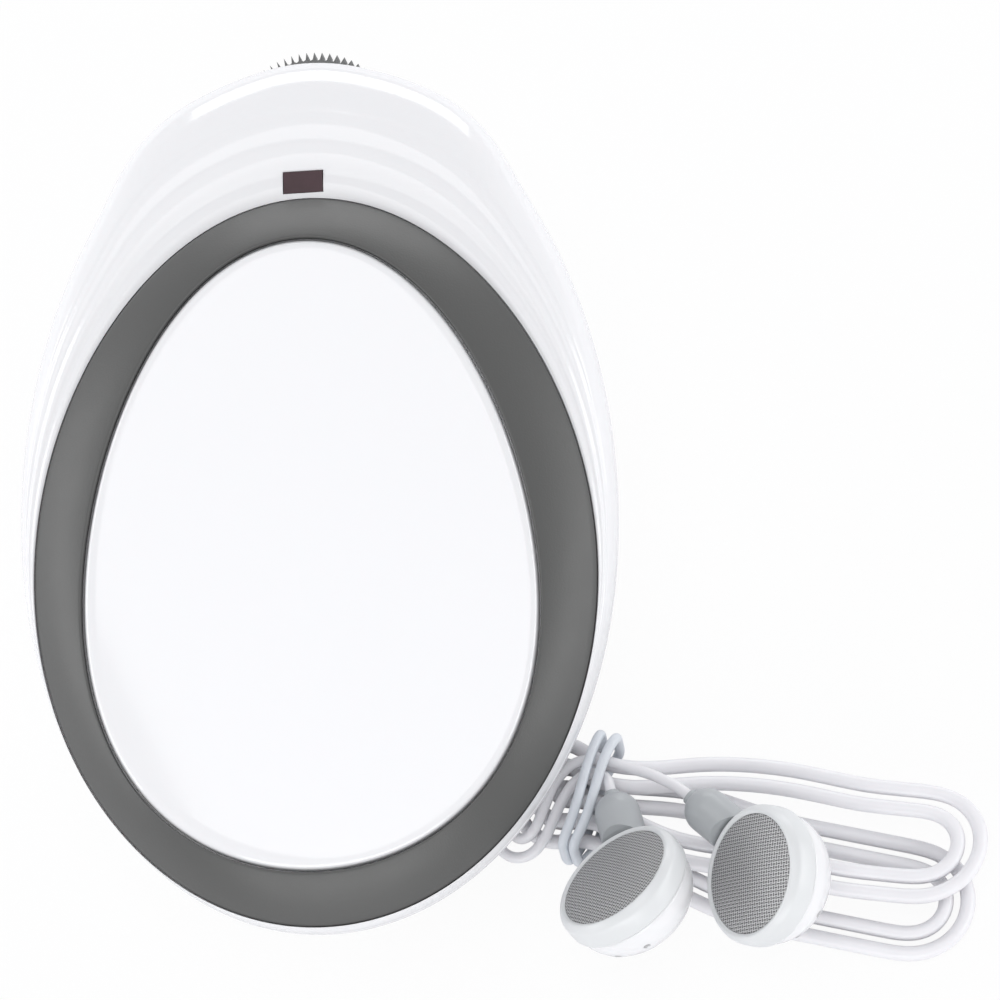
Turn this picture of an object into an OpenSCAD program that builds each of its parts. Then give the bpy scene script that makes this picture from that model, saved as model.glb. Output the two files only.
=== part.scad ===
// Hand-held fetal doppler monitor with wired earphones, millimetres.
// Origin: centre of the round probe face, which rests on z = 0.
// +X to the right, +Y towards the thumbwheel end, +Z up.
// The face frame (u, v, w) lies in the outer edge of the grey ring:
// u is X, v runs up the face, w is the face's outward normal.

/* [Face] */
// Tilt of the face above the level
face_tilt = 14; // [12:0.5:14.5]
// Height of the face centre above the probe face
face_z = 29.6; // [29:0.2:33]
// Distance of the face centre in front of the probe centre
face_back = 10.3; // [9:0.1:12]
// Half width of the grey ring
ring_hw = 35.4; // [34.8:0.1:35.8]
// Half length of the grey ring
ring_hl = 46.2; // [45.6:0.1:46.6]
// Height of the ring's inner edge over its outer edge
ring_rise = 4.8; // [4:0.1:5.4]
// Thickness of the ring moulding
ring_t = 1.2; // [1:0.1:1.4]
// Half width of the battery cover plate
plate_hw = 28.1; // [27:0.1:28.6]
// Half length of the battery cover plate
plate_hl = 39.8; // [38.5:0.1:40.4]
// Thickness of the battery cover plate at its edge
plate_t = 1.9; // [1.6:0.1:2.2]
// Rise of the plate's crown over its edge
plate_crown = 1.5; // [0.8:0.1:2]
// Gap round the plate
plate_gap = 0.25; // [0.2:0.05:0.4]
// Width of the ledge under the plate
ledge_w = 2.6; // [2:0.1:3.2]

/* [Housing] */
// Half width of the housing
body_hw = 37.9; // [37.6:0.1:39]
// Half length of the housing
body_hl = 56.5; // [56.2:0.1:57.5]
// Distance of the housing's middle above the face centre
body_c = 9.7; // [9.5:0.1:9.9]
// Swell of the shoulders beside the thumbwheel
shoulder = 1.9; // [0:0.1:2.4]
// Depth of the parting line under the face, at its centre
part_depth = 5.2; // [5:0.1:5.6]
// Fall of the parting line for each millimetre up the face
part_slope = 0.042; // [0.03:0.002:0.05]
// Wall thickness of the housing
wall = 2.2; // [1.8:0.1:2.4]
// Height of the ripples round the hood
ripple_h = 0.32; // [0:0.02:0.45]
// Radius of the round foot
foot_r = 28; // [27:0.2:29]
// Height of the foot over the table
foot_z = 1.2; // [0.8:0.1:1.6]
// Thickness of the foot's floor
floor_t = 2.4; // [2:0.1:2.8]

/* [Probe] */
// Radius of the probe lens
lens_r = 23; // [22:0.1:23.6]
// Depth of the recess that holds the lens
lens_seat = 1.2; // [1:0.1:1.4]
// Radius of the probe opening behind the lens
probe_bore_r = 17; // [16.6:0.1:17.2]
// Radius of the two half-round crystals
crystal_r = 11; // [10:0.1:12]
// Thickness of a crystal
crystal_t = 0.7; // [0.5:0.1:0.9]
// Gap between the two crystals
crystal_gap = 1.6; // [1.2:0.1:2]
// Radius of the backing cup
cup_r = 16; // [15:0.1:16.4]
// Height of the backing cup
cup_h = 3.6; // [3:0.1:3.8]

/* [Volume wheel] */
// Radius of the wheel over its teeth
wheel_r = 11; // [10.6:0.1:11.2]
// Number of teeth
wheel_teeth = 68; // [56:2:76]
// Depth of a tooth
tooth_h = 1.1; // [0.8:0.1:1.2]
// Thickness of the wheel
wheel_t = 3; // [2.6:0.1:3.4]
// Distance of the wheel's axis inside the housing's far end
wheel_inset = 8.7; // [8.2:0.1:9.2]
// Depth of the wheel's middle under the face
wheel_depth = 12; // [11.6:0.1:12.6]
// Clearance round the wheel in its slot
slot_gap = 0.6; // [0.5:0.1:0.9]

/* [Indicator] */
// Width of the indicator window
led_w = 5; // [4.4:0.1:5.4]
// Height of the indicator window
led_h = 2.8; // [2.4:0.1:3]
// Distance of the window's middle beyond the ring
led_gap = 2.3; // [2:0.1:2.6]

/* [Jacks] */
// Distance of each jack from the middle
jack_x = 14; // [13:0.2:15]
// Height of the jacks over the table
jack_z = 13; // [12:0.2:14]
// Distance of the jack mouths inside the housing's far end
jack_inset = 12.33; // [12:0.01:12.8]
// Radius of the jack's bore
jack_bore_r = 1.8; // [1.78:0.01:1.84]
// Length of the jack's bore
jack_len = 14; // [13:0.2:15]

/* [Battery] */
// Length of the battery without its terminals
bat_l = 46.4; // [45.5:0.1:46.4]
// Width of the battery
bat_w = 26.5; // [25.5:0.1:26.5]
// Thickness of the battery
bat_t = 17.5; // [16.5:0.1:17.5]
// Distance of the battery's middle above the face centre
bat_v = 2; // [1:0.5:3]
// Height of the battery's upper side over the face centre
bat_top = 0.8; // [0.4:0.1:1]
// Wall thickness of the battery tray
tray_t = 1.4; // [1:0.1:1.6]

/* [Earphones] */
// Radius of an earbud's cap
bud_r = 8.8; // [8.4:0.1:9]
// Radius of an earbud's mesh
mesh_r = 7.45; // [7:0.05:7.5]
// Depth of an earbud's cap
cap_h = 3.3; // [3:0.1:3.8]
// Depth of an earbud behind its mesh
bud_h = 9.5; // [9:0.1:10]
// Radius of an earbud's stem
stem_r = 2.9; // [2.7:0.1:3]
// Length of an earbud's stem
stem_l = 17.1; // [16.5:0.1:17.4]
// Lean of a stem towards the earbud's face
stem_lean = 28; // [26:0.5:30]
// Diameter of the main cord
cord_d = 1.9; // [1.7:0.1:1.9]
// Diameter of an ear lead
ear_d = 1.4; // [1.2:0.1:1.4]
// Diameter of the tie round the hank
tie_d = 1.3; // [1:0.05:1.3]

/* [Hidden] */
N = 64;             // points round the housing
near = 0.3;         // gap between pieces that only lie close
ring_seat = 0.16;   // gap between the ring and its sloping seat
fit = 0.05;         // running fit, radial
ring_egg = [ring_hw, ring_hl, 0, 0.047, 0.022];
plate_egg = [plate_hw, plate_hl, 0, 0.155, -0.055];
body_egg = [body_hw, body_hl, body_c, 0.05, 0];
face_o = [0, -face_back, face_z];
body_end = body_c + body_hl;
wheel_v = body_end - wheel_inset;
led_v = ring_hl + led_gap;
jack_y = body_end * cos(face_tilt) - face_back - jack_inset;

// ---- outlines ----
// A point of an egg outline: half width, half length, middle, taper, fullness
function egg(o, a) = [o[0] * cos(a) * (1 - o[3] * sin(a) - o[4] * pow(sin(a), 2)), o[2] + o[1] * sin(a)];
function grow(o, d) = [o[0] + d, o[1] + d, o[2], o[3], o[4]];
function swell(a) =
    let (d = abs(asin(sin(a)) - 60) / 22)
    d < 1 ? shoulder * pow(cos(90 * d), 2) * sign(cos(a)) : 0;
function body_pt(a, d) = egg(grow(body_egg, d), a) + [swell(a), 0];
function part_w(v) = -part_depth - part_slope * v;
function mix(p, q, f) = p + (q - p) * f;
function world(p) =
    [p[0], p[1] * cos(face_tilt) - p[2] * sin(face_tilt), p[1] * sin(face_tilt) + p[2] * cos(face_tilt)] + face_o;
function turns(n) = [for (i = [0:n - 1]) 360 * i / n];

module on_face() {
    translate(face_o) rotate([face_tilt, 0, 0]) children();
}

// ---- skins ----
// A solid from rows of points; each row is one closed turn of n points
module skin(rows, looped = false) {
    n = len(rows[0]);
    m = len(rows);
    pts = [for (r = rows) each r];
    last = looped ? m - 1 : m - 2;
    sides = [for (i = [0:last], j = [0:n - 1])
        let (a = i * n + j, b = i * n + (j + 1) % n, c = ((i + 1) % m) * n + (j + 1) % n, d = ((i + 1) % m) * n + j)
        each [[a, c, b], [a, d, c]]];
    caps = looped ? [] : [[for (j = [0:n - 1]) j], [for (j = [n - 1:-1:0]) (m - 1) * n + j]];
    polyhedron(points = pts, faces = concat(sides, caps), convexity = 8);
}

// ---- housing ----
ring_edge = grow(ring_egg, 0.15);
ledge_t = 1.7;
hood_steps = [1, 0.985, 0.95, 0.9, 0.82, 0.72, 0.62, 0.56, 0.51, 0.455, 0.4, 0.345, 0.29, 0.235, 0.18, 0.125, 0.07, 0];
function ripple(f, span) = f > 0.62 ? 0 : -ripple_h * (span / 20) * (1 - cos(360 * (f - 0.07) / 0.22)) / 2
    * (f > 0.51 ? cos(90 * (f - 0.51) / 0.11) : 1);
function hood_w(a, f) =
    let (p = body_pt(a, 0), span = norm(p - egg(ring_edge, a)))
    part_w(p[1]) * (1 - sqrt(max(0, 1 - f * f))) + ripple(f, span);
function hood_pt(a, f) = concat(mix(egg(ring_edge, a), body_pt(a, 0), f), hood_w(a, f));
function hood_in_pt(a, f) =
    let (p = mix(egg(grow(ring_edge, -2.6), a), body_pt(a, -wall), f))
    concat(p, part_w(p[1]) * (1 - sqrt(1 - f * f)) - (wall - 0.3) * (1 - f * f));
function face_row(o, w) = [for (a = turns(N)) world(concat(egg(o, a), w))];

module front_shell() {
    opening = grow(plate_egg, -ledge_w);
    ledge = ring_rise - plate_t;
    rows = concat(
        [for (f = hood_steps) [for (a = turns(N)) world(hood_pt(a, f))]],
        [
            face_row(ring_edge, -ring_t),
            face_row(grow(plate_egg, plate_gap / 2), ring_rise - ring_t),
            face_row(grow(plate_egg, plate_gap / 2), ledge),
            face_row(opening, ledge),
            face_row(opening, ledge - ledge_t),
            face_row(grow(opening, 1.8), ledge - ledge_t - 0.2),
            face_row(grow(ring_edge, -2.6), -ring_t - 1.2),
        ],
        [for (f = [0.3, 0.6, 0.8, 0.92]) [for (a = turns(N)) world(hood_in_pt(a, f))]],
        [[for (a = turns(N)) let (p = body_pt(a, -wall)) world(concat(p, part_w(p[1])))]]
    );
    skin(rows, true);
}

window_low = -2.6;
control_hole_x = [-9.8, 9.8];
control_hole_v = wheel_v - 7.5;
// Screw places on the face, and how high each front post reaches
case_screw_at = [for (side = [1, -1], s = [[body_hw - 7.9, 20, -1.7], [body_hw - 12.3, -24, -0.8]]) [side * s[0], s[1], s[2]]];
post_r = 2.9;
pilot_r = 1.0;

module front_cover() {
    color("white") difference() {
        union() {
            front_shell();
            for (s = case_screw_at) on_face()
                translate([s[0], s[1], part_w(s[1]) - 0.2]) cylinder(r = post_r, h = s[2] - part_w(s[1]) + 0.2, $fn = 40);
            for (x = control_hole_x) on_face() translate([x, control_hole_v, control_low + board_t])
                cylinder(r = 2.2, h = -1.2 - control_low - board_t, $fn = 32);
        }
        for (x = control_hole_x) on_face() translate([x, control_hole_v, control_low]) cylinder(r = 0.9, h = 4.2, $fn = 24);
        for (s = case_screw_at) on_face()
            translate([s[0], s[1], part_w(s[1]) - 1]) cylinder(r = pilot_r, h = 3.6, $fn = 24);
        on_face() translate([-led_w / 2 - 0.1, led_v - led_h / 2 - 0.1, -6]) cube([led_w + 0.2, led_h + 0.2, 8]);
        parting_cut();
    }
}

// Everything under the parting plane
module parting_cut() {
    on_face() rotate([-atan(part_slope), 0, 0]) translate([-60, -80, -part_depth * cos(atan(part_slope)) - 20])
        cube([120, 180, 20]);
}

bowl_p = 1.25;
bowl_steps = [0, 10, 20, 31, 42, 54, 66, 78, 90];
function bowl_row(t, d, r, z) = [for (a = turns(N))
    let (
        e = body_pt(a, d),
        top = world(concat(e, part_w(e[1]))),
        low = [r * cos(a), r * sin(a), z],
        f = 1 - pow(cos(t), bowl_p),
        g = pow(sin(t), bowl_p)
    )
    [mix(top[0], low[0], f), mix(top[1], low[1], f), mix(top[2], low[2], g)]];

module bowl(d, r, z) {
    skin([for (i = [len(bowl_steps) - 1:-1:0]) bowl_row(bowl_steps[i], d, r, z)]);
}

module rear_shell() {
    skin(concat(
        [for (i = [len(bowl_steps) - 1:-1:0]) bowl_row(bowl_steps[i], 0, foot_r, foot_z)],
        [for (t = bowl_steps) bowl_row(t, -wall, foot_r - 1.5, foot_z + floor_t)]
    ));
}

module rear_cover() {
    color("white") difference() {
        union() {
            rear_shell();
            intersection() {
                bowl(-0.8, foot_r - 0.5, foot_z + 0.6);
                union() {
                    for (s = case_screw_at) on_face()
                        translate([s[0], s[1], part_w(s[1]) - 24]) cylinder(r = post_r + 0.9, h = 23.7, $fn = 40);
                    for (x = [-jack_x, jack_x]) translate([x, jack_y, jack_z]) rotate([-90, 0, 0])
                        translate([0, 0, -3]) cylinder(r = 6, h = 12, $fn = 40);
                    for (h = board_hole) on_face() translate([h[0], h[1], -40])
                        cylinder(r = 2.6, h = 40 + board_top - board_t, $fn = 32);
                }
            }
        }
        for (s = case_screw_at) on_face() {
            translate([s[0], s[1], part_w(s[1]) - 30]) cylinder(r = 2.5, h = 26, $fn = 32);
            translate([s[0], s[1], part_w(s[1]) - 6]) cylinder(r = 1.35, h = 7, $fn = 24);
        }
        for (h = board_hole) on_face() translate([h[0], h[1], board_top - 4]) cylinder(r = 1.02, h = 6, $fn = 24);
        for (x = [-jack_x, jack_x]) translate([x, jack_y, jack_z]) rotate([-90, 0, 0]) {
            translate([0, 0, -10]) cylinder(r = 3.1, h = 12, $fn = 40);
            cylinder(r = 5, h = 12, $fn = 40);
        }
        translate([0, 0, foot_z - 1]) cylinder(r = lens_r + 0.1, h = 1 + lens_seat, $fn = 96);
        cylinder(r = probe_bore_r, h = 10, $fn = 96);
        wheel_slot();
    }
}

module wheel_slot() {
    on_face() translate([0, wheel_v, -wheel_depth - wheel_t / 2 - slot_gap])
        cylinder(r = wheel_r + slot_gap, h = wheel_t + 2 * slot_gap, $fn = 96);
}

module accent_ring() {
    inner = grow(plate_egg, plate_gap);
    function across(f, w) = [for (a = turns(N)) world(concat(mix(egg(ring_egg, a), egg(inner, a), f), w))];
    rows = [
        across(0, ring_seat - ring_t), across(0, -0.35), across(0.02, 0.05),
        for (f = [0.2, 0.4, 0.6, 0.8, 0.97]) across(f, ring_rise * (f + 0.35 * f * (1 - f)) + 0.05),
        across(1, ring_rise - 0.15), across(1, ring_rise + ring_seat - ring_t)
    ];
    color([0.44, 0.45, 0.43]) skin(rows, true);
}

module battery_cover() {
    crown = [[0, 0], [0, 0.55], [0.006, 0.78], [0.03, 0.95], [0.12, 1], [0.3, 1], [0.5, 1], [0.7, 1], [0.88, 1]];
    rows = concat(
        [[for (a = turns(N)) world(concat(egg(grow(plate_egg, -1.4), a), ring_rise - plate_t))]],
        [for (c = crown) [for (a = turns(N))
            let (p = egg(plate_egg, a) * (1 - c[0]), r = 1 - c[0])
            world([p[0], p[1], ring_rise - plate_t * (1 - c[1]) + plate_crown * (1 - r * r) + 0.02])]]
    );
    color("white") skin(rows);
}

module led_window() {
    color([0.25, 0.08, 0.1]) on_face()
        translate([-led_w / 2, led_v - led_h / 2, window_low]) cube([led_w, led_h, -0.25 - window_low]);
}

// ---- volume control ----
board_t = 1.2;
pot_t = 2.6;
wheel_low = -wheel_depth - wheel_t / 2;
pot_low = wheel_low + wheel_t + near;
control_low = pot_low + pot_t;
control_w = 24.4;
control_l = 16;
control_far = wheel_v + 1.9;
spindle_r = 1.5;
pot_r = 5.2;
pot_w = 11.2;           // width of the control's terminal block

module at_wheel(w) {
    on_face() translate([0, wheel_v, w]) children();
}

module wheel_outline() {
    root = wheel_r - tooth_h;
    step = 360 / wheel_teeth;
    polygon([for (i = [0:wheel_teeth - 1], k = [0:3])
        let (a = step * (i + [0, 0.3, 0.5, 0.7][k]), r = [root, root + 0.15, wheel_r, root + 0.15][k])
        [r * cos(a), r * sin(a)]]);
}

module volume_wheel() {
    color([0.42, 0.43, 0.42]) at_wheel(wheel_low) difference() {
        linear_extrude(wheel_t) wheel_outline();
        translate([0, 0, -0.2]) difference() {
            cylinder(r = wheel_r - 2.6, h = 1, $fn = 64);
            translate([0, 0, -1]) cylinder(r = 3.6, h = 3, $fn = 40);
        }
        translate([0, 0, -1]) cylinder(r = spindle_r + 0.02, h = wheel_t + 2, $fn = 40);
    }
}

// Turns with the wheel: the spindle's head holds the wheel on the control
module wheel_screw() {
    color("silver") at_wheel(wheel_low) difference() {
        union() {
            cylinder(r = spindle_r, h = wheel_t + near + pot_t - 0.6, $fn = 40);
            translate([0, 0, -0.9]) cylinder(r = 2.6, h = 0.9, $fn = 40);
        }
        translate([-2, -0.25, -1.5]) cube([4, 0.5, 1]);
    }
}

module volume_control() {
    color([0.2, 0.2, 0.22]) at_wheel(pot_low) difference() {
        union() {
            cylinder(r = pot_r, h = pot_t, $fn = 48);
            translate([-pot_w / 2, -pot_r - 3, 1]) cube([pot_w, 6, pot_t - 1]);
        }
        translate([0, 0, -1]) cylinder(r = spindle_r + fit, h = pot_t + 0.4, $fn = 40);
    }
}

module control_board() {
    color([0.12, 0.35, 0.2]) on_face() translate([0, 0, control_low]) linear_extrude(board_t) difference() {
        translate([-control_w / 2, control_far - control_l]) square([control_w, control_l]);
        for (x = control_hole_x) translate([x, control_hole_v]) circle(r = 1.2, $fn = 24);
    }
}

module indicator_led() {
    color([0.5, 0.1, 0.1]) on_face() translate([-2.4, led_v - 1.2, control_low + board_t])
        cube([4.8, 2.4, window_low - near - control_low - board_t]);
}

// ---- jacks ----
jack_snout = 8.8;       // the round part that passes through the wall
module at_jack(x) {
    translate([x, jack_y, jack_z]) rotate([90, 0, 0]) children();
}

module headphone_jack(x) {
    color([0.2, 0.2, 0.22]) at_jack(x) difference() {
        union() {
            cylinder(r = 3, h = jack_snout, $fn = 48);
            translate([-3.4, -3.2, jack_snout]) cube([6.8, 6.4, jack_len + 1 - jack_snout]);
        }
        translate([0, 0, -1]) cylinder(r = jack_bore_r, h = jack_len + 1, $fn = 48);
    }
}

// ---- battery bay ----
bat_low = bat_top - bat_t;
tray_gap = 0.3;
terminal_u = 6.4;       // distance of each terminal from the middle
terminal_l = 2;
snap_t = 3.4;
snap_l = 5;             // room past the battery for its snap
lead_u = 9.4;           // where the battery leads leave the well

module battery() {
    color([0.75, 0.6, 0.25]) on_face() {
        translate([-bat_w / 2, bat_v - bat_l / 2, bat_low]) cube([bat_w, bat_l, bat_t]);
        for (x = [-terminal_u, terminal_u]) translate([x, bat_v + bat_l / 2, bat_low + bat_t / 2]) rotate([-90, 0, 0])
            cylinder(r = x < 0 ? 3 : 2.8, h = terminal_l, $fn = 32);
    }
}

// The compartment's floor fills the opening from below, and its well holds the battery
module battery_tray() {
    out = tray_gap + tray_t;
    floor_top = ring_rise - plate_t - ledge_t - near;
    color([0.85, 0.85, 0.87]) on_face() difference() {
        union() {
            translate([0, 0, floor_top - tray_t]) linear_extrude(tray_t)
                polygon([for (a = turns(N)) egg(grow(plate_egg, 1.2 - ledge_w), a)]);
            translate([-bat_w / 2 - out, bat_v - bat_l / 2 - out, bat_low - out])
                cube([bat_w + 2 * out, bat_l + 2 * out + snap_l, floor_top - bat_low + out - 0.5]);
        }
        translate([-bat_w / 2 - tray_gap, bat_v - bat_l / 2 - tray_gap, bat_low - tray_gap])
            cube([bat_w + 2 * tray_gap, bat_l + 2 * tray_gap + snap_l, bat_t + 4]);
        translate([lead_u - 1, bat_v + bat_l / 2 + snap_l - 2, bat_low + 4]) cube([3.6, 6, 2.4]);
    }
}

module battery_snap() {
    color([0.15, 0.15, 0.15]) on_face() difference() {
        translate([-bat_w / 2 + 0.5, bat_v + bat_l / 2 + 0.02, bat_low + 2]) cube([bat_w - 1, snap_t, bat_t - 4]);
        for (x = [-terminal_u, terminal_u]) translate([x, bat_v + bat_l / 2, bat_low + bat_t / 2]) rotate([-90, 0, 0])
            cylinder(r = 3.2, h = terminal_l + near, $fn = 32);
    }
}

// ---- main board ----
board_top = bat_low - tray_gap - tray_t - 2.6;
board_l = 36;
board_w = 41.6;
board_v = 12;
board_hole = [[-18.4, 27], [18.4, 27], [-18.4, -3], [18.4, -3]];

module main_board() {
    color([0.12, 0.35, 0.2]) on_face() translate([0, 0, board_top - board_t]) linear_extrude(board_t) difference() {
        translate([-board_w / 2, board_v - board_l / 2]) square([board_w, board_l]);
        for (h = board_hole) translate(h) circle(r = 1.2, $fn = 24);
    }
}

module board_parts() {
    color([0.1, 0.1, 0.1]) on_face() {
        for (c = [[-12, 16, 9, 9, 1.6], [4, 14, 10, 6, 1.5], [-10, -2, 6, 5, 1.5], [3, -3, 8, 5, 1.8], [12, 3, 4, 7, 1.4]])
            translate([c[0], c[1], board_top]) cube([c[2], c[3], c[4]]);
    }
}

module board_screws() {
    color("silver") for (h = board_hole) on_face() translate([h[0], h[1], board_top]) {
        cylinder(r = 1.9, h = 1.1, $fn = 32);
        translate([0, 0, -board_t - 2.2]) cylinder(r = 1, h = board_t + 2.2, $fn = 24);
    }
    color("silver") for (x = control_hole_x) on_face() translate([x, control_hole_v, control_low]) {
        translate([0, 0, -1.1]) cylinder(r = 1.9, h = 1.1, $fn = 32);
        cylinder(r = 0.88, h = board_t + 2.6, $fn = 24);
    }
}

module case_screws() {
    color("silver") for (s = case_screw_at) on_face() translate([s[0], s[1], part_w(s[1]) - 4]) {
        translate([0, 0, -1.7]) cylinder(r = 2.2, h = 1.7, $fn = 32);
        cylinder(r = 1.25, h = 3.95, $fn = 24);
        cylinder(r = pilot_r, h = 6.2, $fn = 24);
    }
}

// ---- probe ----
lens_top = foot_z + lens_seat - 0.02;

module probe_lens() {
    color([0.8, 0.82, 0.84]) cylinder(r = lens_r, h = lens_top, $fn = 96);
}

module crystal(side) {
    translate([0, 0, lens_top]) linear_extrude(crystal_t) intersection() {
        circle(r = crystal_r, $fn = 64);
        translate([side > 0 ? crystal_gap / 2 : -20, -20]) square([20 - (side > 0 ? 0 : crystal_gap / 2), 40]);
    }
}

module transmit_crystal() {
    color([0.85, 0.75, 0.5]) crystal(-1);
}

module receive_crystal() {
    color([0.85, 0.75, 0.5]) crystal(1);
}

module probe_cup() {
    color([0.3, 0.3, 0.32]) translate([0, 0, lens_top]) difference() {
        cylinder(r = cup_r, h = cup_h, $fn = 80);
        translate([0, 0, -1]) cylinder(r = crystal_r + near, h = 1 + crystal_t + near, $fn = 80);
    }
}

// ---- earphones ----
// Where each earbud's mesh lies, and how the earbud is turned
buds = [[[35.6, -49.3, 15.1], 41.8, 139.5, -40.9], [[52.4, -49.6, 14.8], 46.6, 186.2, -60]];
bud_shell = [[0, bud_h], [3.4, bud_h - 0.3], [5.6, bud_h - 1.2], [7.2, bud_h - 2.7], [8.1, bud_h - 4.4], [8.4, cap_h]];

module at_bud(b) {
    translate(b[0]) rotate([0, b[1], b[2]]) rotate([0, 0, b[3]]) children();
}

// Turns a profile of radius and depth behind the mesh round the earbud's axis
module bud_turn(pts) {
    rotate_extrude($fn = 72) polygon([for (p = pts) [p[0], -p[1]]]);
}

module at_stem() {
    translate([0, 0, -6.8]) rotate([0, 90 - stem_lean, 0]) children();
}

module bud_cap(b) {
    color([0.82, 0.84, 0.85]) at_bud(b) bud_turn([
        [mesh_r + 0.05, 0], [mesh_r + 0.5, -0.25], [bud_r - 0.5, 0.1], [bud_r - 0.1, 0.6], [bud_r, 1.3],
        [bud_r, cap_h - 0.3], [bud_r - 0.3, cap_h], [7.4, cap_h], [7.4, 1.2], [mesh_r - 0.8, 1], [mesh_r - 0.8, 0.5],
        [mesh_r + 0.05, 0.5]]);
}

module bud_mesh(b) {
    color([0.6, 0.6, 0.6]) at_bud(b) bud_turn([[0, -0.1], [mesh_r - 0.6, 0.05], [mesh_r, 0.15], [mesh_r, 0.48], [0, 0.48]]);
}

module bud_rear(b) {
    color("white") at_bud(b) difference() {
        bud_turn(concat(bud_shell, [[7.2, cap_h], [7, bud_h - 4.4], [6, bud_h - 3.2], [3.4, bud_h - 1.6], [0, bud_h - 1.3]]));
        at_stem() cylinder(r = stem_r - 1, h = 12, $fn = 40);
    }
}

module bud_driver(b) {
    color([0.3, 0.3, 0.32]) at_bud(b) bud_turn([[0, 1.3], [7.2, 1.3], [7.2, 2.1], [4.5, 3.4], [4.5, 4.6], [0, 4.6]]);
}

stem_in = 4;            // where the stem starts inside the earbud
stem_lip = 0.3;         // rim round the ear lead at the stem's end
module bud_stem(b) {
    color([0.7, 0.72, 0.73]) at_bud(b) difference() {
        at_stem() rotate_extrude($fn = 56) polygon(concat([[0, stem_in], [stem_r, stem_in]],
            [for (a = [0:15:75]) [stem_r * cos(a), stem_l - stem_r * (1 - sin(a))]],
            [[1.1, stem_l], [1, stem_l + stem_lip], [0, stem_l + stem_lip]]));
        bud_turn(concat([[0, -stem_r], [0, bud_h + 0.02]], [for (p = bud_shell) p + [0.02, 0.02]], [[bud_r + 0.02, cap_h], [bud_r + 0.02, -stem_r]]));
    }
}

// ---- tubes ----
function unit(v) = v / norm(v);
function tangents(p) = [for (i = [0:len(p) - 1]) unit(p[min(i + 1, len(p) - 1)] - p[max(i - 1, 0)])];
function square_to(v, t) = unit(v - (v * t) * t);
// Directions square to the route, each turned as little as can be from the last
function sides_of(t) =
    let (n0 = square_to(abs(t[0][2]) < 0.9 ? [0, 0, 1] : [1, 0, 0], t[0]), last = len(t) - 1)
    [for (i = 0, n = n0; i <= last; n = square_to(n, t[min(i + 1, last)]), i = i + 1) n];
module tube(p, r, k) {
    t = tangents(p);
    n = sides_of(t);
    skin([for (i = [0:len(p) - 1]) let (b = cross(t[i], n[i]))
        [for (j = [0:k - 1]) p[i] - r * (cos(360 * j / k) * n[i] + sin(360 * j / k) * b)]]);
}
// A smooth route through chosen points, with k steps between two points
function smooth(p, k) = concat([for (i = [0:len(p) - 2], j = [0:k - 1])
    let (a = p[max(i - 1, 0)], b = p[i], c = p[i + 1], d = p[min(i + 2, len(p) - 1)], t = j / k)
    0.5 * ((2 * b) + (c - a) * t + (2 * a - 5 * b + 4 * c - d) * t * t + (3 * b - a - 3 * c + d) * t * t * t)],
    [p[len(p) - 1]]);

// ---- hank ----
hank_at = [32.35, -34.75, 0];
hank_turn = -15.5;
hank_loops = 2;         // loops in each of the two layers
hank_step = 2.65;       // from one loop to the next
hank_layer = cord_d + 0.6;
hank_rings = 24;
hank_reach = [8.78, 48.3]; // from the tie to the middle loop's short and long end
hank_neck = 3.25;       // half width of the middle loop inside the tie
hank_swell = [1.88, 3.24]; // how much wider it is at each end
hank_arc = 0.12;        // share of a turn that a quarter of a fold takes
hank_fan = [-3, 2.1];   // how far each layer swings aside past the tie
hank_rise = 0.12;       // further swing of the upper layer, for each millimetre of its far end
hank_shift = 0.8;
waist_lift = 1.65;
ramp_from = 1.846;      // turn at which the climb to the second layer starts
ramp_to = 2.032;
function bell(x, s) = exp(-pow(x / s, 2));
function signed_pow(x, e) = sign(x) * pow(abs(x), e);
function ease(f) = let (g = min(1, max(0, f))) g * g * (3 - 2 * g);
// Distance of a loop outside the middle one: inwards in the lower layer, outwards in the upper
function hank_q(t) = hank_step * (sqrt(pow(t - hank_loops, 2) + 0.0025) - hank_loops / 2 - 0.25);
function hank_width(x) = hank_neck + (x < 0 ? hank_swell[0] * (1 - bell(x, 3.5)) : hank_swell[1] * (1 - bell(x, 9)));
// Direction from the middle of a loop's fold; k is the share of the turn
function hank_angle(k, d) =
    k < d ? 180 + 90 * k / d : k < 0.5 - d ? 270 : k <= 0.5 + d ? 270 + 90 * (k - 0.5 + d) / d
    : k < 1 - d ? 90 : 90 + 90 * (k - 1 + d) / d;
function hank_local(t) =
    let (
        k = t - floor(t),
        q = hank_q(t),
        run = min(1, max(0, ((k < 0.5 ? k : 1 - k) - hank_arc) / (0.5 - 2 * hank_arc))),
        a = hank_angle(k, hank_arc),
        fold = [for (w = hank_swell) hank_neck + w + q],
        mid = [fold[0] - hank_reach[0] - q, hank_reach[1] + q - fold[1]],
        x = mix(mid[0], mid[1], pow(run, 1.43)) + fold[run < 0.5 ? 0 : 1] * cos(a),
        up = ease((t - ramp_from) / (ramp_to - ramp_from)),
        aside = ease((x - 3) / 23) * mix(hank_fan[0], hank_fan[1] + hank_rise * max(0, x - 33), up),
        z = cord_d / 2 + 0.05 + hank_layer * up + waist_lift * bell(x, 5)
    )
    [x, sin(a) * (hank_width(x) + q) + aside + hank_shift * ease(-x / 8), z];
function from_hank(p) = [
    p[0] * cos(hank_turn) - p[1] * sin(hank_turn),
    p[0] * sin(hank_turn) + p[1] * cos(hank_turn), p[2]] + hank_at;
hank_turns = 2 * hank_loops;
hank_ends = [hank_local(0) + [0, cord_d, 0], hank_local(hank_turns) - [0, 0.5 * cord_d, 0]];
hank_route = [for (p = concat([hank_ends[0]],
    [for (i = [0:hank_turns * hank_rings]) hank_local(i / hank_rings)], [hank_ends[1]])) from_hank(p)];
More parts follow.
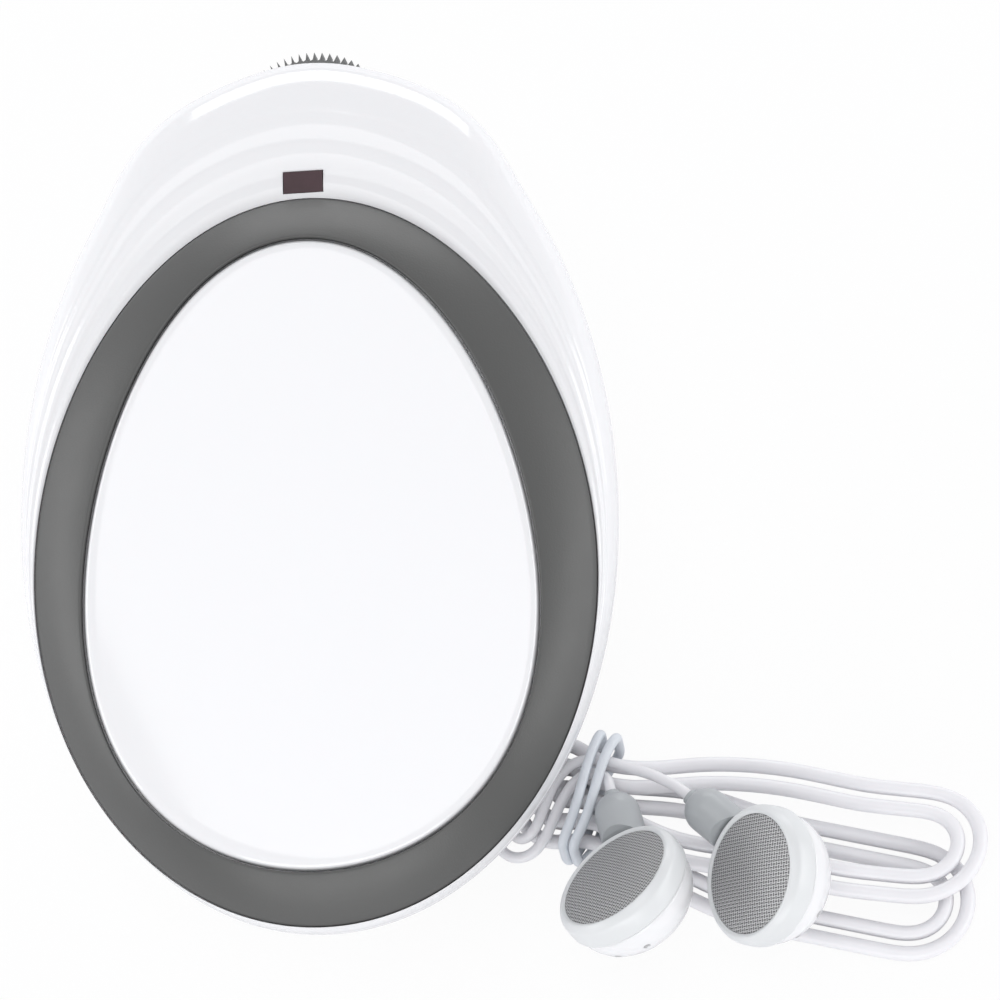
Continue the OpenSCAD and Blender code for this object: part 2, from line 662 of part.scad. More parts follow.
function gap_to_self(p, skip, r) = min([for (i = [0:len(p) - 1], j = [i + skip:1:len(p) - 1]) norm(p[i] - p[j])]) - 2 * r;

module lead_hank() {
    color("white") tube(hank_route, cord_d / 2, 6);
}

// The tie: two turns round the waist of the hank
tie_half = [7.85, 4.05];
tie_z = 4.75;
tie_pitch = 1.75;
tie_lean = 1.05;
tie_back = 0.4;
tie_route = [for (i = [0:48])
    let (a = 360 * i / 24 - 90, x = tie_pitch * (i / 24 - 1) * (1 + 0.22 * cos(a)) + tie_lean * cos(a) - tie_back)
    from_hank([x, tie_half[0] * signed_pow(cos(a), 0.34), tie_z + tie_half[1] * signed_pow(sin(a), 0.36)])];

module hank_tie() {
    color([0.82, 0.85, 0.9]) tube(tie_route, tie_d / 2, 6);
}

// ---- plug and cords ----
plug_gap = 0.02;
plug_drop = 8;
module plug_contacts() {
    color("silver") at_jack(jack_x) rotate_extrude($fn = 48)
        polygon([[0, -1], [1.75, -1], [1.75, 11.4], [1.3, 11.9], [1.6, 12.9], [0.9, 13.6], [0, 13.8]]);
}

module plug_body() {
    color("white") difference() {
        union() {
            at_jack(jack_x) translate([0, 0, -9]) cylinder(r = 4, h = 9 - plug_gap, $fn = 48);
            translate([jack_x, jack_y + 5.5, jack_z - plug_drop]) cylinder(r = 2.1, h = plug_drop, $fn = 40);
            translate([jack_x, jack_y + 5.5, jack_z - plug_drop + 2.5]) cylinder(r = 3, h = plug_drop - 2.5, $fn = 40);
        }
        at_jack(jack_x) translate([0, 0, -1]) cylinder(r = 1.75, h = 2, $fn = 48);
    }
}

plug_exit = [jack_x, jack_y + 5.5, jack_z - plug_drop];
lead_points = [[14.6, 48.4, 1.8], [17, 46, 1], [22, 40, 1], [28, 30, 1], [31.5, 18, 1], [33, 4, 1], [32.5, -8, 1],
    [29.5, -17, 1], [25, -23, 1], [22, -26, 1]];
lead_route = concat([plug_exit], smooth(concat([plug_exit - [0, 0, cord_d]], lead_points, [from_hank(hank_ends[0] + [0, cord_d, 0])]), 2),
    [from_hank(hank_ends[0])]);

module plug_lead() {
    color("white") tube(lead_route, cord_d / 2, 8);
}

splitter_l = 3.2;
splitter_w = 3.8;
function past_hank(x, d) = from_hank(hank_ends[1] + [x, -d, 0]);

module y_splitter() {
    color("white") translate(past_hank(0, 0)) rotate([0, 0, hank_turn]) difference() {
        translate([-splitter_w / 2, -splitter_l + plug_gap, -cord_d / 2]) cube([splitter_w, splitter_l - 2 * plug_gap, cord_d]);
        for (x = [-splitter_w / 2, splitter_w / 2], y = [-splitter_l, 0]) translate([x, y, 0]) rotate([0, 0, 45])
            cube([0.8, 0.8, 4], center = true);
    }
}

// A point on an earbud, from its own frame to the table's
function about_z(p, a) = [p[0] * cos(a) - p[1] * sin(a), p[0] * sin(a) + p[1] * cos(a), p[2]];
function about_y(p, a) = [p[0] * cos(a) + p[2] * sin(a), p[1], p[2] * cos(a) - p[0] * sin(a)];
function bud_point(b, p) = about_z(about_y(about_z(p, b[3]), b[1]), b[2]) + b[0];
function stem_point(b, l) = bud_point(b, [l * cos(stem_lean), 0, l * sin(stem_lean) - 6.8]);
stem_exit = stem_l + stem_lip;

// The ear leads turn back under the housing, cross the hank and leave through the tie
ear_points = [
    [[-11.5, -6.2, 3.6], [-10.5, -8.5, 3.8], [-8.2, -9.7, 4.1], [-5.8, -8.8, 4.8], [-4.4, -6.2, 6], [-3.8, -3, 6.8],
        [-2.9, 0.2, 7.1], [-1.6, 2.1, 7.1], [0, 2.7, 7.1], [1.5, 2.1, 7.4]],
    [[-9.5, -5.7, 3.7], [-8.7, -6.9, 4.1], [-7.2, -7.2, 4.9], [-6, -5.6, 6], [-5.5, -2.6, 6.8], [-4.8, 1, 7.1],
        [-3, 3.6, 7.1], [0.2, 4.5, 7.1], [3.8, 4.1, 7.4], [7.2, 3.4, 8.5], [10.4, 2.2, 9.7]]
];
function ear_route(i) =
    let (b = buds[i], x = 2 * i - 1, free = [for (p = ear_points[i]) from_hank(p)])
    concat([past_hank(x, splitter_l)],
        smooth(concat([past_hank(x, splitter_l + ear_d)], free, [stem_point(b, stem_exit + ear_d)]), 2),
        [stem_point(b, stem_exit)]);

module ear_lead(i) {
    color("white") tube(ear_route(i), ear_d / 2, 8);
}

// ---- wires inside ----
wire_r = 0.55;
function face_pt(u, v, w) = world([u, v, w]);

module battery_leads() {
    from = bat_v + bat_l / 2 + snap_t + 0.04;
    color([0.7, 0.1, 0.1]) for (u = [lead_u, lead_u + 1.6]) tube(smooth([
        face_pt(u, from, bat_low + 5.2), face_pt(u, from + 2.6, bat_low + 5.2), face_pt(u, from + 5.4, bat_low + 4),
        face_pt(u, from + 6, bat_low), face_pt(u, from + 4, bat_low - 3.2),
        face_pt(u, board_v + board_l / 2 - 1.5, board_top + wire_r)], 2), wire_r, 6);
}

module probe_leads() {
    color([0.2, 0.2, 0.22]) for (x = [-5, 5]) translate([x, 0, lens_top + cup_h]) cylinder(r = 0.9, h = 1.3, $fn = 16);
}

echo(hank_gap = gap_to_self(hank_route, 3, cord_d / 2));
echo(tie_gap = gap_to_self(tie_route, 6, tie_d / 2));
echo(stem_ends = [stem_point(buds[0], stem_exit), stem_point(buds[1], stem_exit)]);
echo(hank_ends = [from_hank(hank_ends[0]), from_hank(hank_ends[1])]);

front_cover();
rear_cover();
accent_ring();
battery_cover();
led_window();
indicator_led();
control_board();
volume_control();
volume_wheel();
wheel_screw();
headphone_jack(-jack_x);  // jack_left
headphone_jack(jack_x);  // jack_right
battery();
battery_tray();
battery_snap();
battery_leads();
main_board();
board_parts();
board_screws();
case_screws();
probe_lens();
transmit_crystal();
receive_crystal();
probe_cup();
probe_leads();
plug_contacts();
plug_body();
plug_lead();
lead_hank();
hank_tie();
y_splitter();
ear_lead(0);  // ear_lead_left
ear_lead(1);  // ear_lead_right
bud_cap(buds[0]);  // bud_cap_left
bud_mesh(buds[0]);  // bud_mesh_left
bud_rear(buds[0]);  // bud_rear_left
bud_driver(buds[0]);  // bud_driver_left
bud_stem(buds[0]);  // bud_stem_left
bud_cap(buds[1]);  // bud_cap_right
bud_mesh(buds[1]);  // bud_mesh_right
bud_rear(buds[1]);  // bud_rear_right
bud_driver(buds[1]);  // bud_driver_right
bud_stem(buds[1]);  // bud_stem_right
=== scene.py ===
"""The looks of a hand-held fetal doppler monitor with wired earphones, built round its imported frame."""

import math

import bmesh
import bpy
import numpy as np
from bpy.props import FloatProperty, FloatVectorProperty, IntProperty, PointerProperty
from mathutils import Euler, Matrix, Vector

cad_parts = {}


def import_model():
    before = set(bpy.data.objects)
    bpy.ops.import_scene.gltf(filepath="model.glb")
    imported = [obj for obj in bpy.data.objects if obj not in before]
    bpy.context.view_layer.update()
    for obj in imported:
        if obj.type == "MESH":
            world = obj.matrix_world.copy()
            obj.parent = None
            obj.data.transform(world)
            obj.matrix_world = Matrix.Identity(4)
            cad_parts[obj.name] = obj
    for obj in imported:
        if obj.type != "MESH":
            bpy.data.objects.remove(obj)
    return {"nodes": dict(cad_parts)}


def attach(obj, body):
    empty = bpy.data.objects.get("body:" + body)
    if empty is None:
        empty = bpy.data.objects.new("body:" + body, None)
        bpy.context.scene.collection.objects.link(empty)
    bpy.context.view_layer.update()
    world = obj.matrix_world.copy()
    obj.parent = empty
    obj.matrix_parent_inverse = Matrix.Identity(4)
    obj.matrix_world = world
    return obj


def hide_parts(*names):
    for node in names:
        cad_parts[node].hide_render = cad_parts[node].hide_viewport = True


bl_info = {
    "name": "Fetal Doppler Monitor",
    "version": (1, 0, 0),
    "blender": (4, 5, 0),
    "location": "3D View > Sidebar > Doppler",
    "description": "Builds the housing, face, controls, earphones and studio of a fetal doppler monitor",
    "category": "Add Mesh",
}

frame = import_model()
MM = 0.001
STATIC = "housing"  # the body of every piece that no joint moves

# ---- the face frame and its outlines, as in the part's source, in millimetres ----
FACE_TILT = math.radians(14)
FACE_AT = np.array([0, -10.3, 29.6])
RING_RISE = 4.8
RING_T = 1.2
PLATE_T = 1.9
PLATE_CROWN = 1.5
PLATE_GAP = 0.25
LEDGE_W = 2.6
LEDGE_T = 1.7
WALL = 2.2
PART_DEPTH = 5.2
PART_SLOPE = 0.042
SHOULDER = 1.9
FOOT_R = 28
FOOT_Z = 1.2
FLOOR_T = 2.4
BOWL_POWER = 1.25
JACK_AT = [(x, 41.6, 13.0) for x in (-14.0, 14.0)]
WINDOW = {"half": (2.6, 1.5), "v": 48.5}
WHEEL = {"r": 11.0, "t": 3.0, "v": 57.5, "depth": 12.0, "gap": 0.6}
CASE_SCREWS = [(30, 20), (-30, 20), (25.6, -24), (-25.6, -24)]


def egg(outline, a):
    """Points of an egg outline (half width, half length, middle, taper, fullness) at the angles a."""
    hw, hl, middle, taper, full = outline
    across = hw * np.cos(a) * (1 - taper * np.sin(a) - full * np.sin(a) ** 2)
    return np.stack([across, middle + hl * np.sin(a)], -1)


def grow(outline, d):
    """The same outline, wider and longer by d on each side."""
    return (outline[0] + d, outline[1] + d, *outline[2:])


RING_EGG = (35.4, 46.2, 0, 0.047, 0.022)
PLATE_EGG = (28.1, 39.8, 0, 0.155, -0.055)
BODY_EGG = (37.9, 56.5, 9.7, 0.05, 0)
RING_EDGE = grow(RING_EGG, 0.15)


def swell(a):
    """How far the shoulders beside the thumbwheel stand out."""
    d = np.abs(np.degrees(np.arcsin(np.sin(a))) - 60) / 22
    return np.where(d < 1, SHOULDER * np.cos(np.pi / 2 * np.minimum(d, 1)) ** 2 * np.sign(np.cos(a)), 0)


def body_outline(a, d):
    """Points of the housing's outline, grown by d."""
    p = egg(grow(BODY_EGG, d), a)
    p[..., 0] += swell(a)
    return p


def part_w(v):
    """Height of the parting line over the face frame."""
    return -PART_DEPTH - PART_SLOPE * v


def world(p):
    """Face-frame points (u, v, w) in the row frame, still in millimetres."""
    p = np.asarray(p, float)
    c, s = math.cos(FACE_TILT), math.sin(FACE_TILT)
    return np.stack([p[..., 0], p[..., 1] * c - p[..., 2] * s, p[..., 1] * s + p[..., 2] * c], -1) + FACE_AT


def with_w(p, w):
    """Adds the height w to outline points."""
    return np.concatenate([p, np.broadcast_to(np.asarray(w, float), p.shape[:-1])[..., None]], -1)


def turn(n):
    """n angles round a full turn."""
    return np.arange(n) * 2 * np.pi / n


# ---- mesh helpers ----
def new_object(name, mesh):
    """A new object in the scene."""
    obj = bpy.data.objects.new(name, mesh)
    bpy.context.scene.collection.objects.link(obj)
    return obj


def skin(name, rows, looped=False):
    """A mesh through rows of points in millimetres, each row one closed turn."""
    rows = np.asarray(rows, float)
    m, n = rows.shape[:2]
    mesh = bpy.data.meshes.new(name)
    ring = np.arange(n)
    faces = []
    for i in range(m if looped else m - 1):
        a, b = i * n + ring, (i + 1) % m * n + ring
        faces += np.stack([a, b, np.roll(b, -1), np.roll(a, -1)], 1).tolist()
    if not looped:
        faces += [ring.tolist(), ((m - 1) * n + ring[::-1]).tolist()]
    mesh.from_pydata((rows.reshape(-1, 3) * MM).tolist(), [], faces)
    mesh.update()
    work = bmesh.new()
    work.from_mesh(mesh)
    bmesh.ops.recalc_face_normals(work, faces=work.faces)
    work.to_mesh(mesh)
    work.free()
    return new_object(name, mesh)


def lathe(name, profile, segments=96, place=None):
    """Turns a profile of (radius, height) in millimetres round its own Z; a closed profile makes a ring."""
    a = turn(segments)
    rows = [np.stack([r * np.cos(a), r * np.sin(a), np.full(segments, h)], -1) for r, h in profile]
    mesh = skin(name, rows, looped=profile[0][0] > 0.01 and profile[-1][0] > 0.01)
    work = bmesh.new()
    work.from_mesh(mesh.data)
    bmesh.ops.remove_doubles(work, verts=work.verts, dist=1e-7)
    bmesh.ops.dissolve_degenerate(work, edges=work.edges, dist=1e-7)
    bmesh.ops.recalc_face_normals(work, faces=work.faces)
    work.to_mesh(mesh.data)
    work.free()
    if place is not None:
        mesh.matrix_world = place
    return mesh


def rounded(points, steps=3, share=0.35):
    """A profile with its inner corners rounded by short curves."""
    out = [points[0]]
    for before, at, after in zip(points, points[1:], points[2:]):
        before, at, after = (np.array(p, float) for p in (before, at, after))
        start, end = at + (before - at) * share, at + (after - at) * share
        for t in np.linspace(0, 1, steps + 1):
            out.append(tuple((1 - t) ** 2 * start + 2 * t * (1 - t) * at + t ** 2 * end))
    return out + [points[-1]]


def smooth_shade(obj, angle=32):
    """Smooth shading, with edges over the angle kept sharp."""
    obj.data.polygons.foreach_set("use_smooth", [True] * len(obj.data.polygons))
    obj.data.set_sharp_from_angle(angle=math.radians(angle))


def applied(obj):
    """Applies every modifier to the mesh."""
    shape = bpy.data.meshes.new_from_object(obj.evaluated_get(bpy.context.evaluated_depsgraph_get()))
    obj.modifiers.clear()
    obj.data = shape
    return obj


def cut(obj, *cutters):
    """Takes the cutters' shapes out of obj."""
    for cutter in cutters:
        modifier = obj.modifiers.new("cut", "BOOLEAN")
        modifier.operation, modifier.solver, modifier.object = "DIFFERENCE", "EXACT", cutter
        bpy.context.view_layer.update()
        applied(obj)
        bpy.data.objects.remove(cutter)
    return obj


def box_solid(name, low, high, place):
    """A block between two corners in millimetres, for cutting."""
    mesh = bpy.data.meshes.new(name)
    work = bmesh.new()
    bmesh.ops.create_cube(work, size=1)
    low, high = Vector(low) * MM, Vector(high) * MM
    for v in work.verts:
        v.co = Vector(low[i] + (v.co[i] + 0.5) * (high[i] - low[i]) for i in range(3))
    work.to_mesh(mesh)
    work.free()
    obj = new_object(name, mesh)
    obj.matrix_world = place
    return obj


def rod(name, radius, low, high, place, segments=48):
    """A cylinder along its own Z, in millimetres, for cutting."""
    return lathe(name, [(0, low), (radius, low), (radius, high), (0, high)], segments, place)


def face_place(u=0, v=0, w=0):
    """The place of a point on the face, with Z along the face's normal."""
    spot = Vector(world([u, v, w])) * MM
    return Matrix.Translation(spot) @ Matrix.Rotation(FACE_TILT, 4, "X")


def dress(obj, material, body=STATIC, replaces=(), shade=32):
    """Gives a piece its material, its body and the CAD nodes that it stands for."""
    if obj.type == "MESH":
        smooth_shade(obj, shade)
    obj.data.materials.clear()
    obj.data.materials.append(material)
    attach(obj, body)
    if replaces:
        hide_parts(*replaces)
    return obj


# ---- materials ----
def group_of(name, inputs, outputs):
    """An empty shader node group with its sockets, and its input and output nodes."""
    tree = bpy.data.node_groups.new(name, "ShaderNodeTree")
    for label, kind, value in inputs:
        socket = tree.interface.new_socket(label, in_out="INPUT", socket_type=kind)
        socket.default_value = value
    for label, kind in outputs:
        tree.interface.new_socket(label, in_out="OUTPUT", socket_type=kind)
    return tree, tree.nodes.new("NodeGroupInput"), tree.nodes.new("NodeGroupOutput")


def add(tree, kind, **values):
    """A node with its settings and the values of its named inputs."""
    node = tree.nodes.new(kind)
    for key, value in values.items():
        if hasattr(node, key):
            setattr(node, key, value)
        else:
            node.inputs[key.replace("_", " ").title()].default_value = value
    return node


def moulding_group():
    """Shared effect: the fine grain, slow mottling and handling haze of moulded plastic."""
    tree, given, out = group_of(
        "moulded surface",
        [
            ("Color", "NodeSocketColor", (0.8, 0.8, 0.8, 1)),
            ("Shade", "NodeSocketColor", (0.7, 0.7, 0.7, 1)),
            ("Mottle Scale", "NodeSocketFloat", 60.0),
            ("Grain Scale", "NodeSocketFloat", 4000.0),
            ("Roughness Low", "NodeSocketFloat", 0.2),
            ("Roughness High", "NodeSocketFloat", 0.3),
        ],
        [("Color", "NodeSocketColor"), ("Roughness", "NodeSocketFloat"), ("Height", "NodeSocketFloat")],
    )
    place = add(tree, "ShaderNodeTexCoord")
    mottle = add(tree, "ShaderNodeTexNoise", detail=3.0)
    grain = add(tree, "ShaderNodeTexNoise", detail=2.0)
    haze = add(tree, "ShaderNodeTexNoise", scale=180.0, detail=4.0)
    tint = add(tree, "ShaderNodeMix", data_type="RGBA")
    rough = add(tree, "ShaderNodeMapRange")
    link = tree.links.new
    for noise in (mottle, grain, haze):
        link(place.outputs["Object"], noise.inputs["Vector"])
    link(given.outputs["Mottle Scale"], mottle.inputs["Scale"])
    link(given.outputs["Grain Scale"], grain.inputs["Scale"])
    link(mottle.outputs["Fac"], tint.inputs["Factor"])
    link(given.outputs["Color"], tint.inputs["A"])
    link(given.outputs["Shade"], tint.inputs["B"])
    link(haze.outputs["Fac"], rough.inputs["Value"])
    link(given.outputs["Roughness Low"], rough.inputs["To Min"])
    link(given.outputs["Roughness High"], rough.inputs["To Max"])
    link(tint.outputs["Result"], out.inputs["Color"])
    link(rough.outputs["Result"], out.inputs["Roughness"])
    link(grain.outputs["Fac"], out.inputs["Height"])
    return tree


def shader(name):
    """A new material with its node tree and Principled shader."""
    material = bpy.data.materials.new(name)
    material.use_nodes = True
    return material, material.node_tree, material.node_tree.nodes["Principled BSDF"]


def plastic(name, color, shade=0.94, rough=(0.2, 0.28), grain=(4000.0, 0.02), mottle=60.0, coat=0.0,
            subsurface=0.0, ior=1.5):
    """Moulded plastic: a tinted colour, its haze and a bump of fine grain (scale, strength)."""
    material, tree, main = shader(name)
    surface = tree.nodes.new("ShaderNodeGroup")
    surface.node_tree = bpy.data.node_groups.get("moulded surface") or moulding_group()
    surface.inputs["Color"].default_value = (*color, 1)
    surface.inputs["Shade"].default_value = (*(c * shade for c in color), 1)
    surface.inputs["Mottle Scale"].default_value = mottle
    surface.inputs["Grain Scale"].default_value = grain[0]
    surface.inputs["Roughness Low"].default_value, surface.inputs["Roughness High"].default_value = rough
    bump = add(tree, "ShaderNodeBump", strength=grain[1], distance=0.0002)
    link = tree.links.new
    link(surface.outputs["Color"], main.inputs["Base Color"])
    link(surface.outputs["Roughness"], main.inputs["Roughness"])
    link(surface.outputs["Height"], bump.inputs["Height"])
    link(bump.outputs["Normal"], main.inputs["Normal"])
    main.inputs["IOR"].default_value = ior
    main.inputs["Coat Weight"].default_value = coat
    main.inputs["Coat Roughness"].default_value = 0.05
    if subsurface:
        main.inputs["Subsurface Weight"].default_value = subsurface
        main.inputs["Subsurface Radius"].default_value = (0.9, 0.8, 0.8)
        main.inputs["Subsurface Scale"].default_value = 0.0015
    return material


def linear(srgb):
    """A colour written as sRGB shares, as the shaders need it."""
    return tuple(c / 12.92 if c <= 0.04045 else ((c + 0.055) / 1.055) ** 2.4 for c in srgb)


def weave_material(name, color, pitch):
    """Fine woven wire: two sets of crossing wires that pass over and under each other; their low parts are
    darkened, partly as the mesh's dark openings and partly as painted shade.
    """
    material, tree, main = shader(name)
    link = tree.links.new
    place = add(tree, "ShaderNodeTexCoord")
    axes = add(tree, "ShaderNodeSeparateXYZ")
    link(place.outputs["Object"], axes.inputs[0])

    def maths(operation, *given):
        node = add(tree, "ShaderNodeMath", operation=operation)
        for socket, source in zip(node.inputs, given):
            if isinstance(source, (int, float)):
                socket.default_value = source
            else:
                link(source, socket)
        return node.outputs[0]

    turns = math.pi / (pitch * MM)
    x = maths("MULTIPLY", maths("ADD", axes.outputs[0], axes.outputs[1]), turns * math.sqrt(0.5))
    y = maths("MULTIPLY", maths("SUBTRACT", axes.outputs[0], axes.outputs[1]), turns * math.sqrt(0.5))
    over_x, over_y = maths("SINE", x), maths("SINE", y)
    round_x = maths("ABSOLUTE", maths("COSINE", x))
    round_y = maths("ABSOLUTE", maths("COSINE", y))
    lift = maths("MULTIPLY", maths("SIGN", maths("MULTIPLY", over_x, over_y)), 0.5)
    warp = maths("MULTIPLY", round_x, maths("ADD", 1.0, lift))
    weft = maths("MULTIPLY", round_y, maths("SUBTRACT", 1.0, lift))
    height = maths("MAXIMUM", warp, weft)
    # Colour follows height: between the wires and where a wire dips under another it darkens to 0.16 of the
    # colour, partly the mesh's dark openings, partly painted shade
    gap_and_shade_ramp = add(tree, "ShaderNodeMapRange")
    link(height, gap_and_shade_ramp.inputs["Value"])
    gap_and_shade_ramp.inputs["From Min"].default_value = 0.45
    gap_and_shade_ramp.inputs["From Max"].default_value = 1.2
    tint = add(tree, "ShaderNodeMix", data_type="RGBA")
    tint.inputs["A"].default_value = (*(c * 0.16 for c in color), 1)
    tint.inputs["B"].default_value = (*color, 1)
    link(gap_and_shade_ramp.outputs["Result"], tint.inputs["Factor"])
    link(tint.outputs["Result"], main.inputs["Base Color"])
    bump = add(tree, "ShaderNodeBump", strength=0.5, distance=pitch * MM * 0.35)
    link(height, bump.inputs["Height"])
    link(bump.outputs["Normal"], main.inputs["Normal"])
    main.inputs["Metallic"].default_value = 0.45
    main.inputs["Roughness"].default_value = 0.42
    return material


def metal(name, color, rough=0.25, scale=900.0):
    """Turned or drawn metal with fine streaks."""
    material, tree, main = shader(name)
    link = tree.links.new
    place = add(tree, "ShaderNodeTexCoord")
    stretch = add(tree, "ShaderNodeMapping")
    stretch.inputs["Scale"].default_value = (1, 1, 12)
    streaks = add(tree, "ShaderNodeTexNoise", scale=scale, detail=3.0)
    spread = add(tree, "ShaderNodeMapRange")
    spread.inputs["To Min"].default_value = rough * 0.8
    spread.inputs["To Max"].default_value = rough * 1.5
    bump = add(tree, "ShaderNodeBump", strength=0.05, distance=0.0001)
    link(place.outputs["Object"], stretch.inputs["Vector"])
    link(stretch.outputs["Vector"], streaks.inputs["Vector"])
    link(streaks.outputs["Fac"], spread.inputs["Value"])
    link(streaks.outputs["Fac"], bump.inputs["Height"])
    link(spread.outputs["Result"], main.inputs["Roughness"])
    link(bump.outputs["Normal"], main.inputs["Normal"])
    tone = add(tree, "ShaderNodeMix", data_type="RGBA")
    tone.inputs["A"].default_value = (*color, 1)
    tone.inputs["B"].default_value = (*(c * 0.85 for c in color), 1)
    link(streaks.outputs["Fac"], tone.inputs["Factor"])
    link(tone.outputs["Result"], main.inputs["Base Color"])
    main.inputs["Metallic"].default_value = 1.0
    return material


# ---- settings ----
class FinishSettings(bpy.types.PropertyGroup):
    """Colours that a user would change."""

    shell: FloatVectorProperty(
        name="Shell", description="Colour of the white shells", default=(0.86, 0.86, 0.875),
        subtype="COLOR", size=3, min=0, max=1)
    ring: FloatVectorProperty(
        name="Ring", description="Colour of the grey ring", default=(0.090, 0.091, 0.089),
        subtype="COLOR", size=3, min=0, max=1)
    wheel: FloatVectorProperty(
        name="Wheel", description="Colour of the thumbwheel", default=(0.15, 0.152, 0.15),
        subtype="COLOR", size=3, min=0, max=1)
    window: FloatVectorProperty(
        name="Window", description="Colour of the indicator window", default=(0.085, 0.040, 0.050),
        subtype="COLOR", size=3, min=0, max=1)
    cord: FloatVectorProperty(
        name="Cord", description="Colour of the cords", default=(0.84, 0.835, 0.86),
        subtype="COLOR", size=3, min=0, max=1)
    tie: FloatVectorProperty(
        name="Tie", description="Colour of the tie", default=(0.76, 0.80, 0.85),
        subtype="COLOR", size=3, min=0, max=1)
    cap: FloatVectorProperty(
        name="Bud cap", description="Colour of the earbuds' caps", default=(0.74, 0.755, 0.765),
        subtype="COLOR", size=3, min=0, max=1)
    stem: FloatVectorProperty(
        name="Stem", description="Colour of the earbuds' stems", default=(0.45, 0.47, 0.485),
        subtype="COLOR", size=3, min=0, max=1)
    mesh: FloatVectorProperty(
        name="Mesh", description="Colour of the earbuds' mesh", default=(0.56, 0.56, 0.565),
        subtype="COLOR", size=3, min=0, max=1)


class HousingSettings(bpy.types.PropertyGroup):
    """Sizes of the housing's moulded details."""

    ripple: FloatProperty(
        name="Ripple", description="Depth of the hood's ripples in millimetres", default=0.30, min=0, max=0.6)
    turn_points: IntProperty(
        name="Points", description="Points round the housing", default=288, min=64, max=512)
    hood_rows: IntProperty(
        name="Hood rows", description="Rows from the ring to the parting line", default=72, min=24, max=160)


class EarphoneSettings(bpy.types.PropertyGroup):
    """Sizes of the earphones, in metres."""

    cord_d: FloatProperty(
        name="Cord", description="Diameter of the main cord", default=0.0019, unit="LENGTH")
    ear_d: FloatProperty(
        name="Ear lead", description="Diameter of an ear lead", default=0.0014, unit="LENGTH")
    tie_d: FloatProperty(
        name="Tie", description="Diameter of the tie", default=0.0013, unit="LENGTH")
    weave: FloatProperty(
        name="Weave", description="Pitch of the mesh in millimetres", default=0.42, min=0.1, max=1)


class StageSettings(bpy.types.PropertyGroup):
    """Lights and the camera."""

    key: FloatProperty(
        name="Key", description="Power of the large soft light", default=1.6, min=0, unit="POWER")
    fill: FloatProperty(
        name="Fill", description="Power of each low light", default=1.5, min=0, unit="POWER")
    sky: FloatProperty(
        name="Sky", description="Strength of the even light", default=0.53, min=0, max=2)
    lens: FloatProperty(
        name="Lens", description="Focal length in millimetres on a 36 mm sensor", default=178.6, min=20)


class DopplerSettings(bpy.types.PropertyGroup):
    """Everything that the panel shows."""

    finish: PointerProperty(type=FinishSettings)
    housing: PointerProperty(type=HousingSettings)
    earphones: PointerProperty(type=EarphoneSettings)
    stage: PointerProperty(type=StageSettings)


def settings():
    """The scene's own settings of this object."""
    return bpy.context.scene.doppler


# ---- camera ----
CAMERA_AT = (0.0859, -0.2666, 0.5877)
CAMERA_TURN = (25.017, 6.613, -0.496)  # degrees about X, Y and Z


class DOPPLER_OT_camera(bpy.types.Operator):
    """Place the camera at the photograph's viewing angle"""

    bl_idname = "doppler.camera"
    bl_label = "Camera"

    def execute(self, context):
        data = bpy.data.cameras.new("camera")
        data.lens, data.sensor_width = settings().stage.lens, 36
        data.clip_start, data.clip_end = 0.01, 20
        camera = bpy.data.objects.new("camera", data)
        camera.location = CAMERA_AT
        camera.rotation_euler = Euler([math.radians(a) for a in CAMERA_TURN])
        context.scene.collection.objects.link(camera)
        context.scene.camera = camera
        return {"FINISHED"}


# ---- cords: the routes of the part's source, in millimetres ----
CORD_D = 1.9
EAR_D = 1.4
HANK_AT = np.array([32.35, -34.75, 0])
HANK_TURN = math.radians(-15.5)
HANK_LOOPS = 2
HANK_STEP = 2.65
HANK_LAYER = CORD_D + 0.6
HANK_REACH = (8.78, 48.3)
HANK_NECK = 3.25
HANK_SWELL = (1.88, 3.24)
HANK_ARC = 0.12
HANK_FAN = (-3, 2.1)
HANK_RISE = 0.12
HANK_RISE_AT = 33  # where along the hank the upper layer starts to rise aside
HANK_SHIFT = 0.8
HANK_SHIFT_SPAN = 8
HANK_CROWDING = 1.43  # over 1, the points of a straight run crowd towards the tie's end
HANK_ROUNDING = 0.0025  # rounds the change from winding in to winding out
FAN_START = 3  # distance from the tie at which the strands begin to fan out
FAN_SPAN = 23
WAIST_SPANS = (3.5, 9)  # how soon the strands spread, towards the near and the far fold
WAIST_LIFT = 1.65
WAIST_LIFT_SPAN = 5
FLOOR_GAP = 0.05
RAMP = (1.846, 2.032)
TIE_TURNS = 2
TIE_HALF = (7.85, 4.05)
TIE_SQUARENESS = (0.34, 0.36)  # 1 would be an ellipse
TIE_Z = 4.75
TIE_PITCH = 1.75
TIE_LEAN = 1.05
TIE_BACK = 0.4
TIE_UNEVEN = 0.22
PLUG_EXIT = np.array([14, 47.1, 5])
LEAD_POINTS = [
    (14.6, 48.4, 1.8), (17, 46, 1), (22, 40, 1), (28, 30, 1), (31.5, 18, 1),
    (33, 4, 1), (32.5, -8, 1), (29.5, -17, 1), (25, -23, 1), (22, -26, 1),
]
SPLITTER_L = 3.2
INSET = 0.9  # how far an ear lead reaches into the splitter and into its stem
# Chosen points of the ear leads, in the hank's own frame
EAR_POINTS = [
    [(-11.5, -6.2, 3.6), (-10.5, -8.5, 3.8), (-8.2, -9.7, 4.1), (-5.8, -8.8, 4.8), (-4.4, -6.2, 6),
     (-3.8, -3, 6.8), (-2.9, 0.2, 7.1), (-1.6, 2.1, 7.1), (0, 2.7, 7.1), (1.5, 2.1, 7.4)],
    [(-9.5, -5.7, 3.7), (-8.7, -6.9, 4.1), (-7.2, -7.2, 4.9), (-6, -5.6, 6), (-5.5, -2.6, 6.8),
     (-4.8, 1, 7.1), (-3, 3.6, 7.1), (0.2, 4.5, 7.1), (3.8, 4.1, 7.4), (7.2, 3.4, 8.5), (10.4, 2.2, 9.7)],
]
